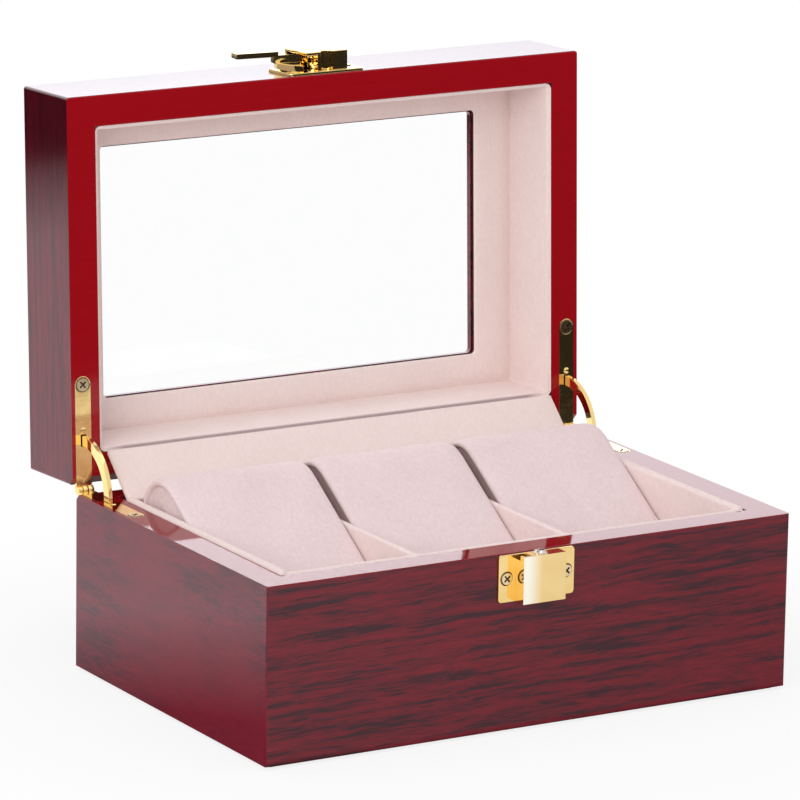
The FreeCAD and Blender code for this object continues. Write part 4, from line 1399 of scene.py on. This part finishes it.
@dataclass
class ScrewHeads:
    """Cross-recessed screw heads, set out by geometry nodes."""

    bench: Workbench
    leaf_head: HeadSize = HeadSize(2.55 * MM, 0.16 * MM)
    plate_head: HeadSize = HeadSize(2.25 * MM, 0.3 * MM)
    leaf_spot: Spot = (95.65 * MM, 31.55 * MM)
    plate_spot: Spot = (11.4 * MM, -67.0 * MM)
    rim: float = 61.2 * MM
    lid_rim: float = 61.6 * MM
    catch_level: float = 52.9 * MM
    latch_level: float = 69.9 * MM
    sides: int = 32
    depth: float = 1.1 * MM
    narrow: float = 0.87
    recess_width: float = 0.62 * MM
    recess_length: float = 2.8 * MM
    recess_depth: float = 0.6 * MM
    # Faces below half the rise, or turned from the facing, take the painted shade.
    dark_below: float = 0.02 * MM
    dark_turn: float = 0.98
    seed: int = 11

    def build(self) -> None:
        """Makes the heads of each group of screws."""
        tree = self._tree()
        up, out = Vector((0.0, 0.0, 1.0)), Vector((0.0, -1.0, 0.0))
        groups = (
            ("hinge_base_screws", "base", self.leaf_spot, self.rim, up, self.leaf_head),
            ("hinge_lid_screws", "lid", self.leaf_spot, self.lid_rim, -up, self.leaf_head),
            ("catch_screws", "base", self.plate_spot, self.catch_level, out, self.plate_head),
            ("latch_screws", "lid", self.plate_spot, self.latch_level, out, self.plate_head),
        )
        for node, body, (x, y), z, facing, size in groups:
            turn = LID_OPEN if body == "lid" else Matrix.Identity(4)
            points = [turn @ Vector((side * x, y, z)) for side in (-1, 1)]
            self._set(tree, node, points, turn.to_3x3() @ facing, body, size)

    def _tree(self) -> NodeTree:
        """Builds the tree that makes a head and sets it on each point.

        Returns:
            The tree.
        """
        tree = bpy.data.node_groups.new("screw_heads", "GeometryNodeTree")
        sizes = ("Radius", "Depth", "Rise", "Recess Width", "Recess Length", "Recess Depth")
        kinds = {"Geometry": "Geometry", **dict.fromkeys(sizes, "Float"), "Facing": "Vector", "Seed": "Int",
                 "Finish": "Material"}
        for name, kind in kinds.items():
            tree.interface.new_socket(name, in_out="INPUT", socket_type=f"NodeSocket{kind}")
        tree.interface.new_socket("Geometry", in_out="OUTPUT", socket_type="NodeSocketGeometry")
        wiring = Wiring(tree)
        given = wiring.add("NodeGroupInput").outputs
        radius, depth, rise, width, length, deep = (given[name] for name in sizes)
        cylinder = {"Vertices": self.sides, "Radius": radius, "Depth": depth}
        shank = wiring.add("GeometryNodeMeshCylinder", cylinder)
        sunk = wiring.xyz(z=wiring.math("MULTIPLY", depth, -0.5))
        shank = wiring.add("GeometryNodeTransform", {"Geometry": shank.outputs["Mesh"], "Translation": sunk})
        dome = wiring.add("GeometryNodeMeshCone", {
            "Vertices": self.sides, "Radius Top": wiring.math("MULTIPLY", radius, self.narrow),
            "Radius Bottom": radius, "Depth": rise})
        body = wiring.add("GeometryNodeJoinGeometry", {0: [shank.outputs[0], dome.outputs["Mesh"]]})
        bars = []
        for x, y in ((length, width), (width, length)):
            size = wiring.xyz(x, y, wiring.math("MULTIPLY", deep, 2.0))
            bar = wiring.add("GeometryNodeMeshCube", {"Size": size}).outputs["Mesh"]
            lift = {"Geometry": bar, "Translation": wiring.xyz(z=rise)}
            bars.append(wiring.add("GeometryNodeTransform", lift).outputs[0])
        cut = {"Mesh 1": body.outputs[0], "Mesh 2": bars, "Self Intersection": True}
        head = wiring.add("GeometryNodeMeshBoolean", cut, operation="DIFFERENCE", solver="EXACT")
        spin = wiring.add("FunctionNodeRandomValue", {3: math.tau, "Seed": given["Seed"]}, data_type="FLOAT")
        aim = wiring.add("FunctionNodeAlignRotationToVector", {"Vector": given["Facing"]}, axis="Z")
        around = {"Axis": (0.0, 0.0, 1.0), "Angle": spin.outputs[1]}
        around = wiring.add("FunctionNodeAxisAngleToRotation", around)
        turns = {0: aim.outputs[0], 1: around.outputs[0]}
        turn = wiring.add("FunctionNodeRotateRotation", turns, rotation_space="LOCAL")
        heads = {"Points": given["Geometry"], "Instance": head.outputs[0], "Rotation": turn.outputs[0]}
        heads = wiring.add("GeometryNodeInstanceOnPoints", heads)
        real = wiring.add("GeometryNodeRealizeInstances", {0: heads.outputs[0]})
        dressed = {"Geometry": real.outputs[0], "Material": given["Finish"]}
        wiring.add("NodeGroupOutput", {0: wiring.add("GeometryNodeSetMaterial", dressed).outputs[0]})
        return tree

    def _set(self, tree: NodeTree, node: str, points: Sequence[Vector], facing: Vector, body: str,
             size: HeadSize) -> None:
        """Sets the heads of one group of screws.

        Args:
            tree: The tree that makes them.
            node: The solid that they stand for.
            points: Where each head's rim is.
            facing: The way that the heads face.
            body: The body that they ride on.
            size: Their size.
        """
        mesh = bpy.data.meshes.new(f"{node}_points")
        mesh.from_pydata([tuple(point) for point in points], [], [])
        piece = new_object(f"{node}_heads", mesh)
        maker = piece.modifiers.new("heads", "NODES")
        maker.node_group = tree
        values = {"Radius": size.radius, "Depth": self.depth, "Rise": size.rise,
                  "Recess Width": self.recess_width, "Recess Length": self.recess_length,
                  "Recess Depth": self.recess_depth, "Facing": tuple(facing), "Seed": self.seed,
                  "Finish": self.bench.palette.screws}
        for socket in tree.interface.items_tree:
            if socket.in_out == "INPUT" and socket.name in values:
                maker[socket.identifier] = values[socket.name]
        evaluated = piece.evaluated_get(bpy.context.evaluated_depsgraph_get())
        piece.data = bpy.data.meshes.new_from_object(evaluated)
        piece.modifiers.clear()
        self._paint_recess_shade(piece.data, points, facing, size.rise)
        self.bench.place(piece, body, "gilt_screws", [node])

    def _paint_recess_shade(self, mesh: Mesh, points: Sequence[Vector], facing: Vector, rise: float) -> None:
        """Gives the heads their finish, and paints shade on their recesses and rims with a dark finish.

        Args:
            mesh: The heads' mesh.
            points: Where each head's rim is.
            facing: The way that the heads face.
            rise: How far they rise.
        """
        mesh.materials.clear()
        mesh.materials.append(self.bench.palette.screws)
        mesh.materials.append(self.bench.palette.recess_shade)
        # Painted shade: recess and rim faces take the dark material.
        for face in mesh.polygons:
            nearest = min(points, key=lambda point: (point - face.center).length)
            low = (face.center - nearest).dot(facing) < rise / 2 - self.dark_below
            face.material_index = int(low or face.normal.dot(facing) < self.dark_turn)


@dataclass
class Fittings:
    """The gilt hinges with their stays, the catch and the latch."""

    bench: Workbench
    leaf_edge: float = 0.14 * MM
    plate_edge: float = 0.3 * MM
    edge_steps: int = 2
    rivet_inset: float = 0.33 * MM
    rivet_rise: float = 0.16 * MM
    rivet_steps: int = 2
    rivet_crease: float = 60.0
    roof: float = 60.9 * MM
    roof_thickness: float = 0.3 * MM
    catch_half: float = 8.1 * MM
    catch_wall: float = 0.5 * MM
    cover_depth: float = 0.1 * MM
    stud_drop: float = 0.45
    stud_wall: float = 0.5 * MM
    stud_depth: float = 0.7 * MM
    stud_band: float = 0.05 * MM

    def build(self) -> None:
        """Makes the fittings."""
        for side in SIDES:
            for part, body in (("base_leaf", "base"), ("lid_leaf", "lid"), ("stay", f"stay_{side}")):
                self._gilt(f"hinge_{part}_{side}", body, self.leaf_edge)
            self.bench.keep(f"hinge_pin_{side}", self.bench.palette.gilt)
        for body in ("base", "lid"):
            self._rivets(f"hinge_{body}_rivets", body)
        self._gilt("catch_plate", "base", self.plate_edge)
        self._catch_body()
        for node, body in (("latch_plate", "lid"), ("latch_housing", "lid"), ("latch_lever", "latch_lever")):
            self._gilt(node, body, self.plate_edge)
        self._stud()
        self.bench.keep("latch_pivot_pin", self.bench.palette.steel)

    def _rivets(self, node: str, body: str) -> None:
        """Makes flush rivets with low round heads.

        Args:
            node: The solid that they stand for.
            body: The body that they ride on.
        """
        on_lid = body == "lid"
        away, farthest = (-1.0, min) if on_lid else (1.0, max)
        shape = self.bench.copy_of(node, on_lid)
        level = farthest(vert.co.z for vert in shape.verts)
        tops = [face for face in shape.faces
                if face.normal.z * away > FACING and abs(face.verts[0].co.z - level) < LEVEL]
        for face in tops:
            for _ in range(self.rivet_steps):
                bmesh.ops.inset_individual(shape, faces=[face], thickness=self.rivet_inset)
                for vert in face.verts:
                    vert.co.z += away * self.rivet_rise / self.rivet_steps
        if on_lid:
            shape.transform(LID_OPEN)
        self.bench.piece(f"{node}_gilt", shape, [self.bench.palette.gilt], body, "gilt", [node],
                         self.rivet_crease)

    def _catch_body(self) -> None:
        """Makes the catch with its polished cover, which carries a painted highlight, and its satin inside.
        """
        finishes = self.bench.palette
        shape = self.bench.copy_of("catch_body")
        self.bench.ease(shape, self.plate_edge, self.edge_steps)
        front = min(vert.co.y for vert in shape.verts)
        shape.normal_update()
        for face in shape.faces:
            x, y, z = face.calc_center_median()
            face.material_index = int(y < front + self.cover_depth)
            walled = abs(x) < self.catch_half - self.catch_wall and y > front + self.catch_wall
            if walled and z < self.roof - self.roof_thickness:
                face.material_index = 2
        made = [finishes.gilt, finishes.cover, finishes.satin]
        self.bench.piece("catch_body_gilt", shape, made, "base", "gilt", ["catch_body"], weighted=True)

    def _stud(self) -> None:
        """Makes the catch's stud, low, with a pit in its top that carries painted shade."""
        shape = self.bench.copy_of("catch_pin")
        for vert in shape.verts:
            vert.co.z -= max(0.0, vert.co.z - self.roof) * self.stud_drop
        top = max(vert.co.z for vert in shape.verts)
        shape.normal_update()
        faces = [face for face in shape.faces
                 if face.normal.z > FACING and face.verts[0].co.z > top - self.stud_band]
        bmesh.ops.inset_region(shape, faces=faces, thickness=self.stud_wall)
        for part in bmesh.ops.extrude_face_region(shape, geom=faces)["geom"]:
            if isinstance(part, BMVert):
                part.co.z -= self.stud_depth
            elif isinstance(part, BMFace):
                part.material_index = 1
        bmesh.ops.delete(shape, geom=faces, context="FACES")
        # The pit's faces take the recess material as painted shade.
        finishes = [self.bench.palette.steel, self.bench.palette.recess_shade]
        self.bench.piece("catch_stud", shape, finishes, "base", "steel", ["catch_pin"])

    def _gilt(self, node: str, body: str, edge: float) -> None:
        """Makes a gilt piece with eased edges from its solid.

        Args:
            node: The solid that it stands for.
            body: The body that it rides on.
            edge: How far its edges are eased.
        """
        shape = self.bench.copy_of(node)
        self.bench.ease(shape, edge, self.edge_steps)
        self.bench.piece(f"{node}_gilt", shape, [self.bench.palette.gilt], body, "gilt", [node],
                         weighted=True)


def main() -> None:
    """Builds the studio and the pieces."""
    logging.basicConfig(level=logging.INFO, format="%(message)s")
    Studio().build()
    bench = Workbench(Palette())
    for assembly in (Shell, Linings, Pillows, Fittings, ScrewHeads):
        assembly(bench).build()


if __name__ == "__main__":
    main()
